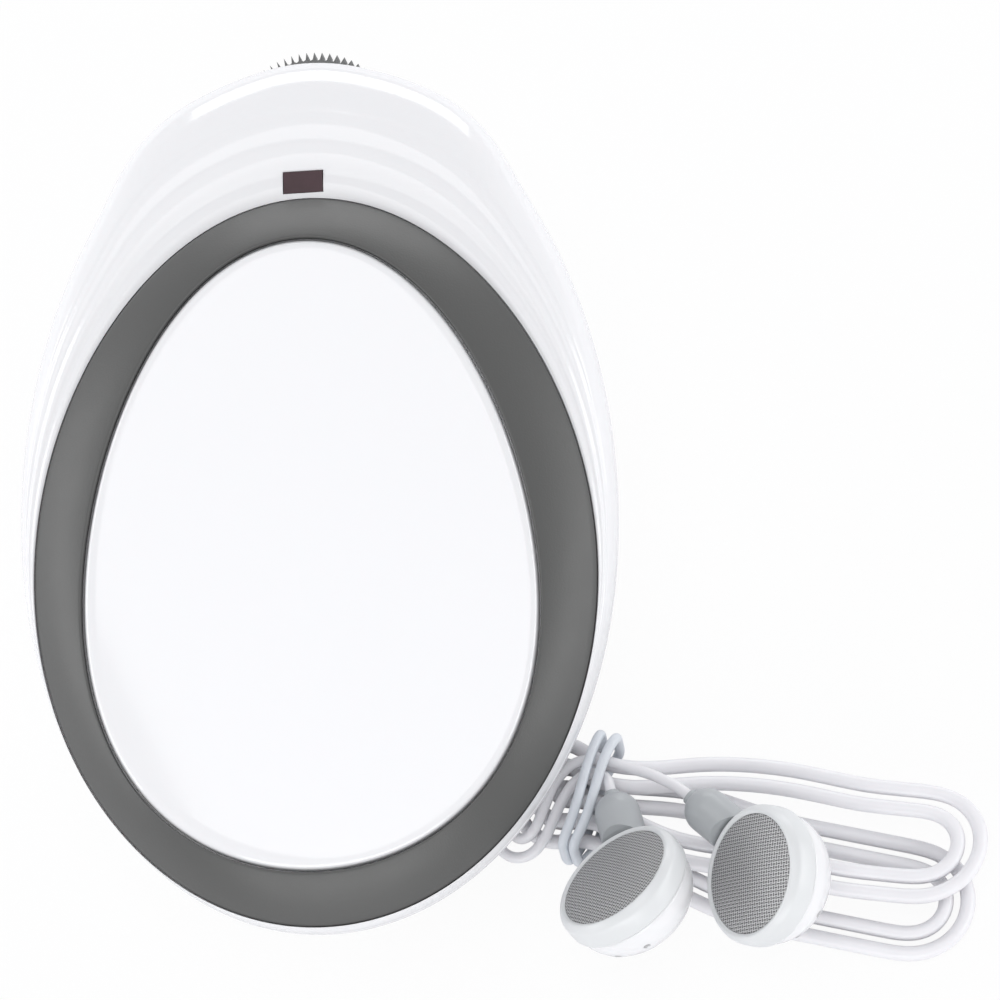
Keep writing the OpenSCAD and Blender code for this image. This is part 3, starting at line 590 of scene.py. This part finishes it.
# Where each earbud's mesh lies, and its turns about Y, Z and its own axis, in degrees
BUDS = {
    "left": ((35.6, -49.3, 15.1), 41.8, 139.5, -40.9),
    "right": ((52.4, -49.6, 14.8), 46.6, 186.2, -60),
}
BUD_R = 8.8
CAP_H = 3.3
BUD_H = 9.5
STEM_R = 2.9
STEM_LEAN = math.radians(28)
STEM_L = 17.1
STEM_ROOT = 6.8  # depth behind the mesh where a stem's axis meets the earbud's
STEM_EXIT = STEM_L + 0.3


def bell(x, s):
    """1 at nothing, falling softly to 0 within about twice the span s."""
    return np.exp(-((x / s) ** 2))


def signed_pow(x, e):
    """The power e of x's size, with x's sign."""
    x = np.where(np.abs(x) < 1e-9, 0, x)
    return np.sign(x) * np.abs(x) ** e


def ease(f):
    """A soft step from 0 to 1."""
    g = np.clip(f, 0, 1)
    return g * g * (3 - 2 * g)


def from_hank(p):
    """Points of the hank's own frame, with the tie at its origin, in the row frame."""
    p = np.atleast_2d(np.asarray(p, float))
    c, s = math.cos(HANK_TURN), math.sin(HANK_TURN)
    return np.stack([p[:, 0] * c - p[:, 1] * s, p[:, 0] * s + p[:, 1] * c, p[:, 2]], 1) + HANK_AT


def hank_local(t):
    """The wound hank: in to the middle in the lower layer, out again in the upper one."""
    t = np.asarray(t, float)
    k = t - np.floor(t)
    q = HANK_STEP * (np.sqrt((t - HANK_LOOPS) ** 2 + HANK_ROUNDING) - HANK_LOOPS / 2 - 0.25)
    run = np.clip((np.minimum(k, 1 - k) - HANK_ARC) / (0.5 - 2 * HANK_ARC), 0, 1)
    a = np.radians(np.interp(k, [0, HANK_ARC, 0.5 - HANK_ARC, 0.5 + HANK_ARC, 1 - HANK_ARC, 1],
                             [180, 270, 270, 450, 450, 540]))
    near_fold, far_fold = (HANK_NECK + swelling + q for swelling in HANK_SWELL)
    near_mid, far_mid = near_fold - HANK_REACH[0] - q, HANK_REACH[1] + q - far_fold
    fold = np.where(run < 0.5, near_fold, far_fold)
    x = near_mid + (far_mid - near_mid) * run ** HANK_CROWDING + fold * np.cos(a)
    up = ease((t - RAMP[0]) / (RAMP[1] - RAMP[0]))
    near_swell, far_swell = (wide * (1 - bell(x, span)) for wide, span in zip(HANK_SWELL, WAIST_SPANS))
    width = HANK_NECK + np.where(x < 0, near_swell, far_swell)
    upper_fan = HANK_FAN[1] + HANK_RISE * np.maximum(0, x - HANK_RISE_AT)
    aside = ease((x - FAN_START) / FAN_SPAN) * (HANK_FAN[0] + (upper_fan - HANK_FAN[0]) * up)
    y = np.sin(a) * (width + q) + aside + HANK_SHIFT * ease(-x / HANK_SHIFT_SPAN)
    z = CORD_D / 2 + FLOOR_GAP + HANK_LAYER * up + WAIST_LIFT * bell(x, WAIST_LIFT_SPAN)
    return np.stack([x, y, z], -1)


HANK_START = hank_local(0) + [0, CORD_D, 0]
HANK_END = hank_local(2 * HANK_LOOPS) - [0, 0.5 * CORD_D, 0]


def even(route, step=0.7):
    """The same route with its points about a step apart."""
    route = np.asarray(route, float)
    lengths = np.linalg.norm(np.diff(route, axis=0), axis=1)
    route = route[np.append(True, lengths > 1e-6)]
    along = np.append(0, np.cumsum(lengths[lengths > 1e-6]))
    spots = np.linspace(0, along[-1], round(along[-1] / step) + 1)
    return np.stack([np.interp(spots, along, route[:, i]) for i in range(3)], 1)


def smooth(points, k):
    """A smooth route through chosen points, with k steps between two of them."""
    p = np.asarray(points, float)
    p = np.vstack([p[:1], p, p[-1:]])
    out = []
    for a, b, c, d in zip(p, p[1:], p[2:], p[3:]):
        bend, twist = 2 * a - 5 * b + 4 * c - d, 3 * b - a - 3 * c + d
        for t in np.arange(k) / k:
            out.append(0.5 * (2 * b + (c - a) * t + bend * t * t + twist * t ** 3))
    return np.array(out + [p[-1]])


def bud_place(side):
    """The earbud's own frame: its mesh at the origin, facing its own Z."""
    at, tip, swing, roll = BUDS[side]
    turned = (Matrix.Rotation(math.radians(swing), 4, "Z") @ Matrix.Rotation(math.radians(tip), 4, "Y")
              @ Matrix.Rotation(math.radians(roll), 4, "Z"))
    return Matrix.Translation(Vector(at) * MM) @ turned


def stem_point(side, l):
    """A point along a stem's axis, in millimetres."""
    local = Vector((l * math.cos(STEM_LEAN), 0, l * math.sin(STEM_LEAN) - STEM_ROOT)) * MM
    return np.array(bud_place(side) @ local) / MM


def soften(route, times):
    """The route with its kinks eased, its two ends kept."""
    route = route.copy()
    for _ in range(times):
        route[1:-1] = (route[:-2] + 2 * route[1:-1] + route[2:]) / 4
    return even(route, np.linalg.norm(route[1] - route[0]))


def past_hank(x, d):
    """A point past the end of the hank's cord: x along the hank, d onwards."""
    return from_hank(HANK_END + [x, -d, 0])[0]


def main_route():
    """The main cord: from the plug round the housing, then through the hank."""
    turns = from_hank(np.vstack([HANK_START, hank_local(np.linspace(0, 2 * HANK_LOOPS, 960)), HANK_END]))
    lead = smooth([PLUG_EXIT - [0, 0, CORD_D], *LEAD_POINTS, from_hank(HANK_START + [0, CORD_D, 0])[0]], 12)
    return soften(even(np.vstack([PLUG_EXIT, lead, turns])), 10)


def ear_route(side):
    """An ear lead: out of the splitter, back under the housing, through the tie and into its stem."""
    i = list(BUDS).index(side)
    x = 2 * i - 1
    free = [past_hank(x, SPLITTER_L + EAR_D), *from_hank(EAR_POINTS[i]), stem_point(side, STEM_EXIT + EAR_D)]
    out_of_splitter = [past_hank(x, SPLITTER_L - INSET), past_hank(x, SPLITTER_L)]
    into_stem = [stem_point(side, STEM_EXIT), stem_point(side, STEM_EXIT - INSET)]
    return soften(even(np.vstack([*out_of_splitter, smooth(free, 12), *into_stem]), 0.3), 12)


def tie_route():
    """The tie's turns round the waist of the hank."""
    turned = np.linspace(0, TIE_TURNS, 192 * TIE_TURNS + 1)
    a = 2 * np.pi * turned - np.pi / 2
    pitch = TIE_PITCH * (1 + TIE_UNEVEN * np.cos(a))
    along = pitch * (turned - TIE_TURNS / 2) + TIE_LEAN * np.cos(a) - TIE_BACK
    across = TIE_HALF[0] * signed_pow(np.cos(a), TIE_SQUARENESS[0])
    up = TIE_Z + TIE_HALF[1] * signed_pow(np.sin(a), TIE_SQUARENESS[1])
    return even(from_hank(np.stack([along, across, up], 1)), 0.3)


def cord_curve(name, route, diameter):
    """A round cord along a route in millimetres."""
    data = bpy.data.curves.new(name, "CURVE")
    data.dimensions = "3D"
    data.bevel_depth = diameter / 2
    data.bevel_resolution = 5
    data.use_fill_caps = True
    spline = data.splines.new("POLY")
    spline.points.add(len(route) - 1)
    for point, place in zip(spline.points, np.asarray(route) * MM):
        point.co = (*place, 1)
    spline.use_smooth = True
    obj = bpy.data.objects.new(name, data)
    bpy.context.scene.collection.objects.link(obj)
    return obj


class DOPPLER_OT_cords(bpy.types.Operator):
    """Lay the earphone cord, its hank, its tie and the two ear leads"""

    bl_idname = "doppler.cords"
    bl_label = "Cords"

    def execute(self, context):
        sizes, colors = settings().earphones, settings().finish
        sheath = plastic("cord sheath", colors.cord, 0.95, (0.3, 0.4), (900.0, 0.06), 200.0, subsurface=0.2)
        tie_finish = plastic("tie sleeve", colors.tie, 0.88, (0.3, 0.42), (1500.0, 0.12), 300.0)
        route = main_route()
        main = cord_curve("earphone_cord", route, sizes.cord_d)
        dress(main, sheath, replaces=("plug_lead", "lead_hank"))
        for side in BUDS:
            ear = cord_curve(f"ear_lead_{side}_cord", ear_route(side), sizes.ear_d)
            dress(ear, sheath, replaces=(f"ear_lead_{side}",))
        tie = cord_curve("tie", tie_route(), sizes.tie_d)
        dress(tie, tie_finish, replaces=("hank_tie",))
        return {"FINISHED"}


# ---- housing ----
# Where the ripples start, their pitch, where they fade and where they end, as shares of the way
# from the ring to the parting line
RIPPLE_START = 0.07
RIPPLE_PITCH = 0.22
RIPPLE_FADE = 0.51
RIPPLE_END = 0.62
RIPPLE_SPAN = 20  # the hood's width where the ripples have their named depth
RING_SEAT_W = 2.6
HOOD_THINNING = 0.3
PROBE_RECESS = {"r": 23.1, "top": 2.4}
PROBE_BORE = {"r": 17, "top": 10}
JACK_RECESS = {"r": 5, "depth": 12}
JACK_HOLE = {"r": 3.1, "depth": 14}
SCREW_HOLE_R = 2.5


def ripple_at(f, span, depth):
    """Two soft ripples parallel to the ring, fading towards the parting line."""
    wave = -depth * (span / RIPPLE_SPAN) * (1 - np.cos(2 * np.pi * (f - RIPPLE_START) / RIPPLE_PITCH)) / 2
    faded = np.cos(np.pi / 2 * (f - RIPPLE_FADE) / (RIPPLE_END - RIPPLE_FADE))
    return np.where(f > RIPPLE_END, 0, wave * np.where(f > RIPPLE_FADE, faded, 1))


def hood_row(a, f, depth):
    """The hood's outside at the share f of the way from the ring to the parting line."""
    inner, outer = egg(RING_EDGE, a), body_outline(a, 0)
    p = inner + (outer - inner) * f
    w = part_w(p[:, 1]) * (1 - math.sqrt(max(0.0, 1 - f * f)))
    span = np.linalg.norm(outer - inner, axis=1)
    return world(with_w(p, w + ripple_at(f, span, depth)))


def hood_inside(a, f):
    """The hood's inside at the share f of the way from the ring's seat to the parting line."""
    inner, outer = egg(grow(RING_EDGE, -RING_SEAT_W), a), body_outline(a, -WALL)
    p = inner + (outer - inner) * f
    wall = (WALL - HOOD_THINNING) * (1 - f * f)
    return world(with_w(p, part_w(p[:, 1]) * (1 - math.sqrt(1 - f * f)) - wall))


def front_shell(n, rows, depth):
    """The front cover, in one closed skin: hood, ring seat, ledge and the inside."""
    a = turn(n)
    opening = grow(PLATE_EGG, -LEDGE_W)
    seat = grow(PLATE_EGG, PLATE_GAP / 2)
    ledge = RING_RISE - PLATE_T
    edge = body_outline(a, -WALL)
    outside = [hood_row(a, math.sin(t), depth) for t in np.linspace(math.pi / 2, 0, rows)]
    steps = [
        (RING_EDGE, -RING_T),
        (seat, RING_RISE - RING_T),
        (seat, ledge),
        (opening, ledge),
        (opening, ledge - LEDGE_T),
        (grow(opening, 1.8), ledge - LEDGE_T - 0.2),
        (grow(RING_EDGE, -RING_SEAT_W), -RING_T - 1.2),
    ]
    seats = [world(with_w(egg(outline, a), w)) for outline, w in steps]
    inside = [hood_inside(a, f) for f in (0.3, 0.6, 0.8, 0.92)]
    rim = world(with_w(edge, part_w(edge[:, 1])))
    return skin("front_shell", [*outside, *seats, *inside, rim], looped=True)


def bowl_row(a, t, d, r, z):
    """One row of the rear cover, from the parting line (t = 0) to the foot (t = 90 degrees)."""
    e = body_outline(a, d)
    top = world(with_w(e, part_w(e[:, 1])))
    low = np.stack([r * np.cos(a), r * np.sin(a), np.full_like(a, z)], 1)
    f, g = 1 - max(0.0, math.cos(t)) ** BOWL_POWER, math.sin(t) ** BOWL_POWER
    return top + (low - top) * np.array([f, f, g])


def rear_shell(n):
    """The rear cover, in one closed skin: the bowl's outside, its foot and its inside."""
    a = turn(n)
    steps = np.linspace(math.pi / 2, 0, 48)
    outside = [bowl_row(a, t, 0, FOOT_R, FOOT_Z) for t in steps]
    inside = [bowl_row(a, t, -WALL, FOOT_R - 1.5, FOOT_Z + FLOOR_T) for t in steps[::-1]]
    return skin("rear_shell", [*outside, *inside])


def open_rear(rear):
    """Cuts the wheel's slot, the probe's recess, the sockets' holes and the screws' holes."""
    half_slot = WHEEL["t"] / 2 + WHEEL["gap"]
    wheel_at = face_place(0, WHEEL["v"], -WHEEL["depth"])
    upright = Matrix.Identity(4)
    cut(rear, rod("slot", WHEEL["r"] + WHEEL["gap"], -half_slot, half_slot, wheel_at, 96),
        rod("probe_recess", PROBE_RECESS["r"], -1, PROBE_RECESS["top"], upright, 128),
        rod("probe_bore", PROBE_BORE["r"], 0.5, PROBE_BORE["top"], upright, 96))
    for at in JACK_AT:
        spot = Matrix.Translation(Vector(at) * MM) @ Matrix.Rotation(-math.pi / 2, 4, "X")
        cut(rear, rod("jack_recess", JACK_RECESS["r"], 0, JACK_RECESS["depth"], spot),
            rod("jack_hole", JACK_HOLE["r"], -JACK_HOLE["depth"], 2, spot))
    for u, v in CASE_SCREWS:
        cut(rear, rod("screw_hole", SCREW_HOLE_R, -30, -4, face_place(u, v, part_w(v)), 40))


class DOPPLER_OT_housing(bpy.types.Operator):
    """Mould the two glossy white shells"""

    bl_idname = "doppler.housing"
    bl_label = "Housing"

    def execute(self, context):
        sizes, colors = settings().housing, settings().finish
        gloss = plastic("white gloss shell", colors.shell, 0.975, (0.10, 0.16), (2500.0, 0.012), 25.0,
                        coat=0.3, subsurface=0.15)
        front = front_shell(sizes.turn_points, sizes.hood_rows, sizes.ripple)
        half_w, half_h = WINDOW["half"]
        window_at = face_place(0, WINDOW["v"])
        cut(front, box_solid("window_hole", (-half_w, -half_h, -6), (half_w, half_h, 3), window_at))
        dress(front, gloss, replaces=("front_cover",), shade=35)
        rear = rear_shell(sizes.turn_points)
        open_rear(rear)
        dress(rear, gloss, replaces=("rear_cover",), shade=35)
        return {"FINISHED"}


# ---- ring and plate ----
SEAM = 0.16  # how far the ring's two edges stand over their seat
# The plate's edge: shares of the way in to its middle, and of its thickness
PLATE_EDGE = [(0, 0), (0, 0.5), (0.0015, 0.62), (0.005, 0.76), (0.011, 0.88), (0.02, 0.96), (0.035, 1.0)]
PLATE_SKIRT = 1.4


def ring_rows(a):
    """The ring's rows, from under its outer edge over its crown to under its inner edge."""
    outer, inner = egg(RING_EGG, a), egg(grow(PLATE_EGG, PLATE_GAP), a)

    def across(f, w):
        return world(with_w(outer + (inner - outer) * f, w))

    def crown(f):
        return RING_RISE * (f + 0.35 * f * (1 - f)) + 0.05

    lip = [(0, SEAM - RING_T), (0, -0.35), (0.004, -0.12), (0.012, 0.0), (0.025, 0.08)]
    top = [(f, crown(f)) for f in np.linspace(0.05, 0.94, 22)]
    edge = [(0.965, crown(0.965) - 0.01), (0.985, crown(0.985) - 0.08), (1, RING_RISE - 0.25),
            (1, RING_RISE + SEAM - RING_T)]
    return [across(f, w) for f, w in (*lip, *top, *edge)]


def plate_rows(a):
    """The plate's rows, from its hidden skirt round its edge to the middle of its dome."""
    rows = [world(with_w(egg(grow(PLATE_EGG, -PLATE_SKIRT), a), RING_RISE - PLATE_T))]
    for share, lift in PLATE_EDGE + [(share, 1.0) for share in np.linspace(0.06, 0.97, 30)]:
        r = 1 - share
        w = RING_RISE - PLATE_T * (1 - lift) + PLATE_CROWN * (1 - r * r) + 0.02
        rows.append(world(with_w(egg(PLATE_EGG, a) * r, w)))
    return rows


class DOPPLER_OT_face(bpy.types.Operator):
    """Make the grey ring and the domed battery cover inside it"""

    bl_idname = "doppler.face"
    bl_label = "Face"

    def execute(self, context):
        colors = settings().finish
        a = turn(settings().housing.turn_points)
        satin = plastic("grey satin ring", colors.ring, 0.93, (0.34, 0.44), (3800.0, 0.10), 90.0)
        plate_gloss = plastic("white gloss plate", colors.shell, 0.985, (0.07, 0.12), (1800.0, 0.006), 18.0,
                              coat=0.5, subsurface=0.15)
        ring = skin("ring", ring_rows(a), looped=True)
        dress(ring, satin, replaces=("accent_ring",))
        dress(skin("plate", plate_rows(a)), plate_gloss, "battery_cover", ("battery_cover",))
        return {"FINISHED"}


# ---- earbuds: profiles of (radius, height over the mesh's edge), in millimetres ----
MESH_R = 7.45
MESH_RISE = 0.55
MESH_FALL = 0.52
VENT_TURNS = (150, 185)  # degrees round the rear shell
VENT_AT = (7.35, 0, -6.45)
VENT_LEAN = 130
CAP_PROFILE = [
    (7.5, 0.05), (7.95, 0.3), (8.35, -0.05), (8.7, -0.6), (BUD_R, -1.3), (BUD_R, 0.35 - CAP_H),
    (8.5, -CAP_H), (7.4, -CAP_H), (7.4, -1.2), (6.65, -1.0), (6.65, -0.5), (7.5, -0.5),
]
BACK_PROFILE = [(0, -BUD_H), (3.4, -9.2), (5.6, -8.3), (7.2, -6.8), (8.1, -5.1), (8.38, -CAP_H - 0.05)]
BACK_INSIDE = [(7.2, -CAP_H - 0.05), (7.0, -5.1), (6.0, -6.3), (3.4, -7.9), (0, 1.3 - BUD_H)]
VENT_PROFILE = [(0, 0.03), (0.4, 0.05), (0.5, 0.0), (0.5, -0.3), (0, -0.3)]
STEM_CUT = 0.02  # how far the cut in a stem stands off the bud that fills it


def along_stem(side):
    """A stem's own frame, with Z along the stem."""
    return (bud_place(side) @ Matrix.Translation(Vector((0, 0, -STEM_ROOT)) * MM)
            @ Matrix.Rotation(math.pi / 2 - STEM_LEAN, 4, "Y"))


def mesh_profile():
    """The low dome of the mesh."""
    dome = [(r, MESH_RISE - MESH_FALL * (r / MESH_R) ** 2) for r in np.linspace(0.5, MESH_R, 18)]
    return [(0, MESH_RISE), *dome, (MESH_R, -0.4), (0, -0.4)]


def stem_profile():
    """The stem with its rounded end, down to the collar of its lead."""
    angles = np.linspace(0, math.radians(68), 12)
    dome = [(STEM_R * math.cos(t), STEM_L - STEM_R * (1 - math.sin(t))) for t in angles]
    return [(0, 4.0), (STEM_R, 4.0), *dome, (1.08, STEM_L - 0.12), (1.0, STEM_EXIT), (0, STEM_EXIT)]


def stem_piece(side):
    """A stem, cut to the outside of its bud."""
    back = [(r + STEM_CUT if r else 0, h) for r, h in BACK_PROFILE]
    inside = [*back, (BUD_R + STEM_CUT, -CAP_H), (BUD_R + STEM_CUT, STEM_R), (0, STEM_R)]
    return cut(lathe(f"stem_{side}", stem_profile(), 72, along_stem(side)),
               lathe("bud_inside", inside, 96, bud_place(side)))


def vent_piece(side, k):
    """The k-th small vent in the rear shell."""
    spin = Matrix.Rotation(math.radians(VENT_TURNS[k]), 4, "Z")
    lean = Matrix.Translation(Vector(VENT_AT) * MM) @ Matrix.Rotation(math.radians(VENT_LEAN), 4, "Y")
    return lathe(f"vent_{side}_{k}", VENT_PROFILE, 24, bud_place(side) @ spin @ lean)


class DOPPLER_OT_earbuds(bpy.types.Operator):
    """Make the two earbuds: mesh, cap, rear shell with its vents, and stem"""

    bl_idname = "doppler.earbuds"
    bl_label = "Earbuds"

    def execute(self, context):
        colors = settings().finish
        cap_finish = plastic("satin cap", colors.cap, 0.95, (0.26, 0.34), (2600.0, 0.05), 120.0,
                             subsurface=0.1)
        rear_finish = plastic("white gloss bud", colors.shell, 0.97, (0.10, 0.18), (2000.0, 0.01), 60.0,
                              coat=0.3, subsurface=0.2)
        stem_finish = plastic("satin stem", colors.stem, 0.94, (0.30, 0.38), (2600.0, 0.06), 120.0)
        vent_finish = plastic("vent cloth", (0.50, 0.505, 0.51), 0.8, (0.6, 0.7), (5000.0, 0.3), 400.0)
        weave = weave_material("woven mesh", colors.mesh, settings().earphones.weave)
        shell = rounded([*BACK_PROFILE, *BACK_INSIDE], 4, 0.3)
        for side in BUDS:
            place = bud_place(side)
            cap = lathe(f"cap_{side}", rounded(CAP_PROFILE), 128, place)
            mesh = lathe(f"mesh_{side}", mesh_profile(), 128, place)
            rear = lathe(f"rear_{side}", shell, 128, place)
            stem = stem_piece(side)
            dress(cap, cap_finish, replaces=(f"bud_cap_{side}",))
            dress(mesh, weave, replaces=(f"bud_mesh_{side}",))
            dress(rear, rear_finish, replaces=(f"bud_rear_{side}",), shade=50)
            dress(stem, stem_finish, replaces=(f"bud_stem_{side}",), shade=50)
            vents = [vent_piece(side, k) for k in range(len(VENT_TURNS))]
            for vent in vents:
                dress(vent, vent_finish)
            route = ear_route(side)
        return {"FINISHED"}


# ---- pieces that keep their CAD shape ----
class DOPPLER_OT_details(bpy.types.Operator):
    """Finish the controls, the sockets, the plug and everything inside the housing"""

    bl_idname = "doppler.details"
    bl_label = "Details"

    def execute(self, context):
        colors = settings().finish
        tray_color, lens_color = linear((0.85, 0.85, 0.87)), linear((0.80, 0.82, 0.84))
        finishes = {
            "volume_wheel": plastic("grey wheel", colors.wheel, 0.85, (0.38, 0.5), (3000.0, 0.12), 150.0),
            "led_window": plastic("red window", colors.window, 0.4, (0.10, 0.16), (900.0, 0.004), 260.0,
                                  ior=1.33),
            "indicator_led": plastic("red lamp", (0.35, 0.02, 0.02), 0.8, (0.15, 0.2), (2000.0, 0.02), 300.0),
            "battery_tray": plastic("tray plastic", tray_color, 0.95, (0.35, 0.45), (2500.0, 0.08), 60.0),
            "battery_leads": plastic("red wire", (0.35, 0.015, 0.015), 0.8, (0.3, 0.4), (1500.0, 0.05),
                                     200.0),
            "probe_lens": plastic("probe lens", lens_color, 0.95, (0.3, 0.36), (2200.0, 0.04), 60.0),
            "battery": metal("battery jacket", (0.55, 0.42, 0.14), 0.32),
            "plug_contacts": metal("plug metal", (0.80, 0.78, 0.74), 0.12),
        }
        shared = [
            (metal("screw steel", (0.62, 0.62, 0.63), 0.3), ("wheel_screw", "board_screws", "case_screws")),
            (plastic("circuit board", (0.012, 0.085, 0.035), 0.7, (0.25, 0.35), (700.0, 0.1), 300.0,
                     coat=0.3),
             ("control_board", "main_board")),
            (plastic("black moulding", (0.018, 0.018, 0.02), 0.7, (0.4, 0.5), (2600.0, 0.15), 120.0),
             ("board_parts", "volume_control", "battery_snap", "probe_leads", "jack_left", "jack_right")),
            (plastic("ceramic disc", (0.58, 0.46, 0.20), 0.85, (0.5, 0.6), (1800.0, 0.15), 120.0),
             ("transmit_crystal", "receive_crystal")),
            (plastic("dark backing", (0.05, 0.05, 0.055), 0.8, (0.5, 0.6), (1500.0, 0.2), 120.0),
             ("probe_cup", "bud_driver_left", "bud_driver_right")),
            (plastic("plug moulding", colors.cord, 0.95, (0.28, 0.38), (1500.0, 0.05), 200.0,
                     subsurface=0.15),
             ("plug_body", "y_splitter")),
        ]
        for finish, names in shared:
            finishes.update({name: finish for name in names})
        for name, finish in finishes.items():
            node = frame["nodes"][name]
            node.data.materials.clear()
            node.data.materials.append(finish)
        return {"FINISHED"}


# ---- stage ----
def area_light(name, power, size, at, aim):
    """A soft rectangular light that looks at a point."""
    data = bpy.data.lights.new(name, "AREA")
    data.shape, data.size, data.size_y = "RECTANGLE", *size
    data.energy = power
    light = bpy.data.objects.new(name, data)
    light.location = at
    light.rotation_euler = (Vector(aim) - Vector(at)).to_track_quat("-Z", "Y").to_euler()
    bpy.context.scene.collection.objects.link(light)
    return light


def white_floor():
    """Pale floor: it takes light and shadow, and reads as white to the camera."""
    material, tree, main = shader("white sweep")
    link = tree.links.new
    main.inputs["Base Color"].default_value = (0.86, 0.86, 0.87, 1)
    main.inputs["Roughness"].default_value = 0.9
    main.inputs["Specular IOR Level"].default_value = 0.0
    glow = add(tree, "ShaderNodeEmission")
    glow.inputs["Color"].default_value = (1, 1, 1, 1)
    path = add(tree, "ShaderNodeLightPath")
    share = add(tree, "ShaderNodeMath", operation="MULTIPLY")
    share.inputs[1].default_value = 0.93
    mix = add(tree, "ShaderNodeMixShader")
    link(path.outputs["Is Camera Ray"], share.inputs[0])
    link(share.outputs[0], mix.inputs["Fac"])
    link(main.outputs[0], mix.inputs[1])
    link(glow.outputs[0], mix.inputs[2])
    link(mix.outputs[0], tree.nodes["Material Output"].inputs["Surface"])
    return material


class DOPPLER_OT_stage(bpy.types.Operator):
    """Light the object on a pale floor"""

    bl_idname = "doppler.stage"
    bl_label = "Stage"

    def execute(self, context):
        lights = settings().stage
        mesh = bpy.data.meshes.new("floor")
        mesh.from_pydata([(-3, -3, 0), (3, -3, 0), (3, 3, 0), (-3, 3, 0)], [], [(0, 1, 2, 3)])
        floor = new_object("floor", mesh)
        floor.location = (0, 0, -0.0002)
        mesh.materials.append(white_floor())
        world_now = bpy.data.worlds.new("studio")
        context.scene.world = world_now
        world_now.use_nodes = True
        tree = world_now.node_tree
        sky = tree.nodes["Background"]
        sky.inputs["Color"].default_value = (0.97, 0.975, 1.0, 1)
        sky.inputs["Strength"].default_value = lights.sky
        seen = add(tree, "ShaderNodeBackground")
        seen.inputs["Color"].default_value = (1, 1, 1, 1)
        path = add(tree, "ShaderNodeLightPath")
        mix = add(tree, "ShaderNodeMixShader")
        tree.links.new(path.outputs["Is Camera Ray"], mix.inputs["Fac"])
        tree.links.new(sky.outputs[0], mix.inputs[1])
        tree.links.new(seen.outputs[0], mix.inputs[2])
        tree.links.new(mix.outputs[0], tree.nodes["World Output"].inputs["Surface"])
        aim = (0.02, 0, 0.015)
        area_light("key softbox", lights.key, (0.7, 0.5), (-0.05, -0.05, 0.85), aim)
        for name, x, y in (("left strip", -0.6, 0), ("right strip", 0.64, 0), ("near strip", 0.02, -0.62),
                           ("far strip", 0.02, 0.62)):
            area_light(name, lights.fill, (0.7, 0.22), (x, y, 0.21), aim)
        context.scene.view_settings.view_transform = "Standard"
        return {"FINISHED"}


class DOPPLER_PT_panel(bpy.types.Panel):
    """Lists the pieces in the order in which they are built"""

    bl_label = "Doppler Monitor"
    bl_idname = "DOPPLER_PT_panel"
    bl_space_type = "VIEW_3D"
    bl_region_type = "UI"
    bl_category = "Doppler"

    def draw(self, context):
        for operator in OPERATORS:
            self.layout.operator(operator.bl_idname)
        for part in (settings().finish, settings().housing, settings().earphones, settings().stage):
            box = self.layout.box()
            for name in part.__annotations__:
                box.prop(part, name)


SETTINGS = (FinishSettings, HousingSettings, EarphoneSettings, StageSettings, DopplerSettings)
OPERATORS = (DOPPLER_OT_camera, DOPPLER_OT_cords, DOPPLER_OT_housing, DOPPLER_OT_face, DOPPLER_OT_earbuds,
             DOPPLER_OT_details, DOPPLER_OT_stage)


def register():
    for cls in (*SETTINGS, *OPERATORS, DOPPLER_PT_panel):
        bpy.utils.register_class(cls)
    bpy.types.Scene.doppler = PointerProperty(type=DopplerSettings)


def unregister():
    del bpy.types.Scene.doppler
    for cls in reversed((*SETTINGS, *OPERATORS, DOPPLER_PT_panel)):
        bpy.utils.unregister_class(cls)


def main():
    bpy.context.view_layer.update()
    register()
    bpy.ops.doppler.camera()
    bpy.ops.doppler.cords()
    bpy.ops.doppler.housing()
    bpy.ops.doppler.face()
    bpy.ops.doppler.earbuds()
    bpy.ops.doppler.details()
    bpy.ops.doppler.stage()
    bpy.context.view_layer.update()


if __name__ == "__main__":
    main()
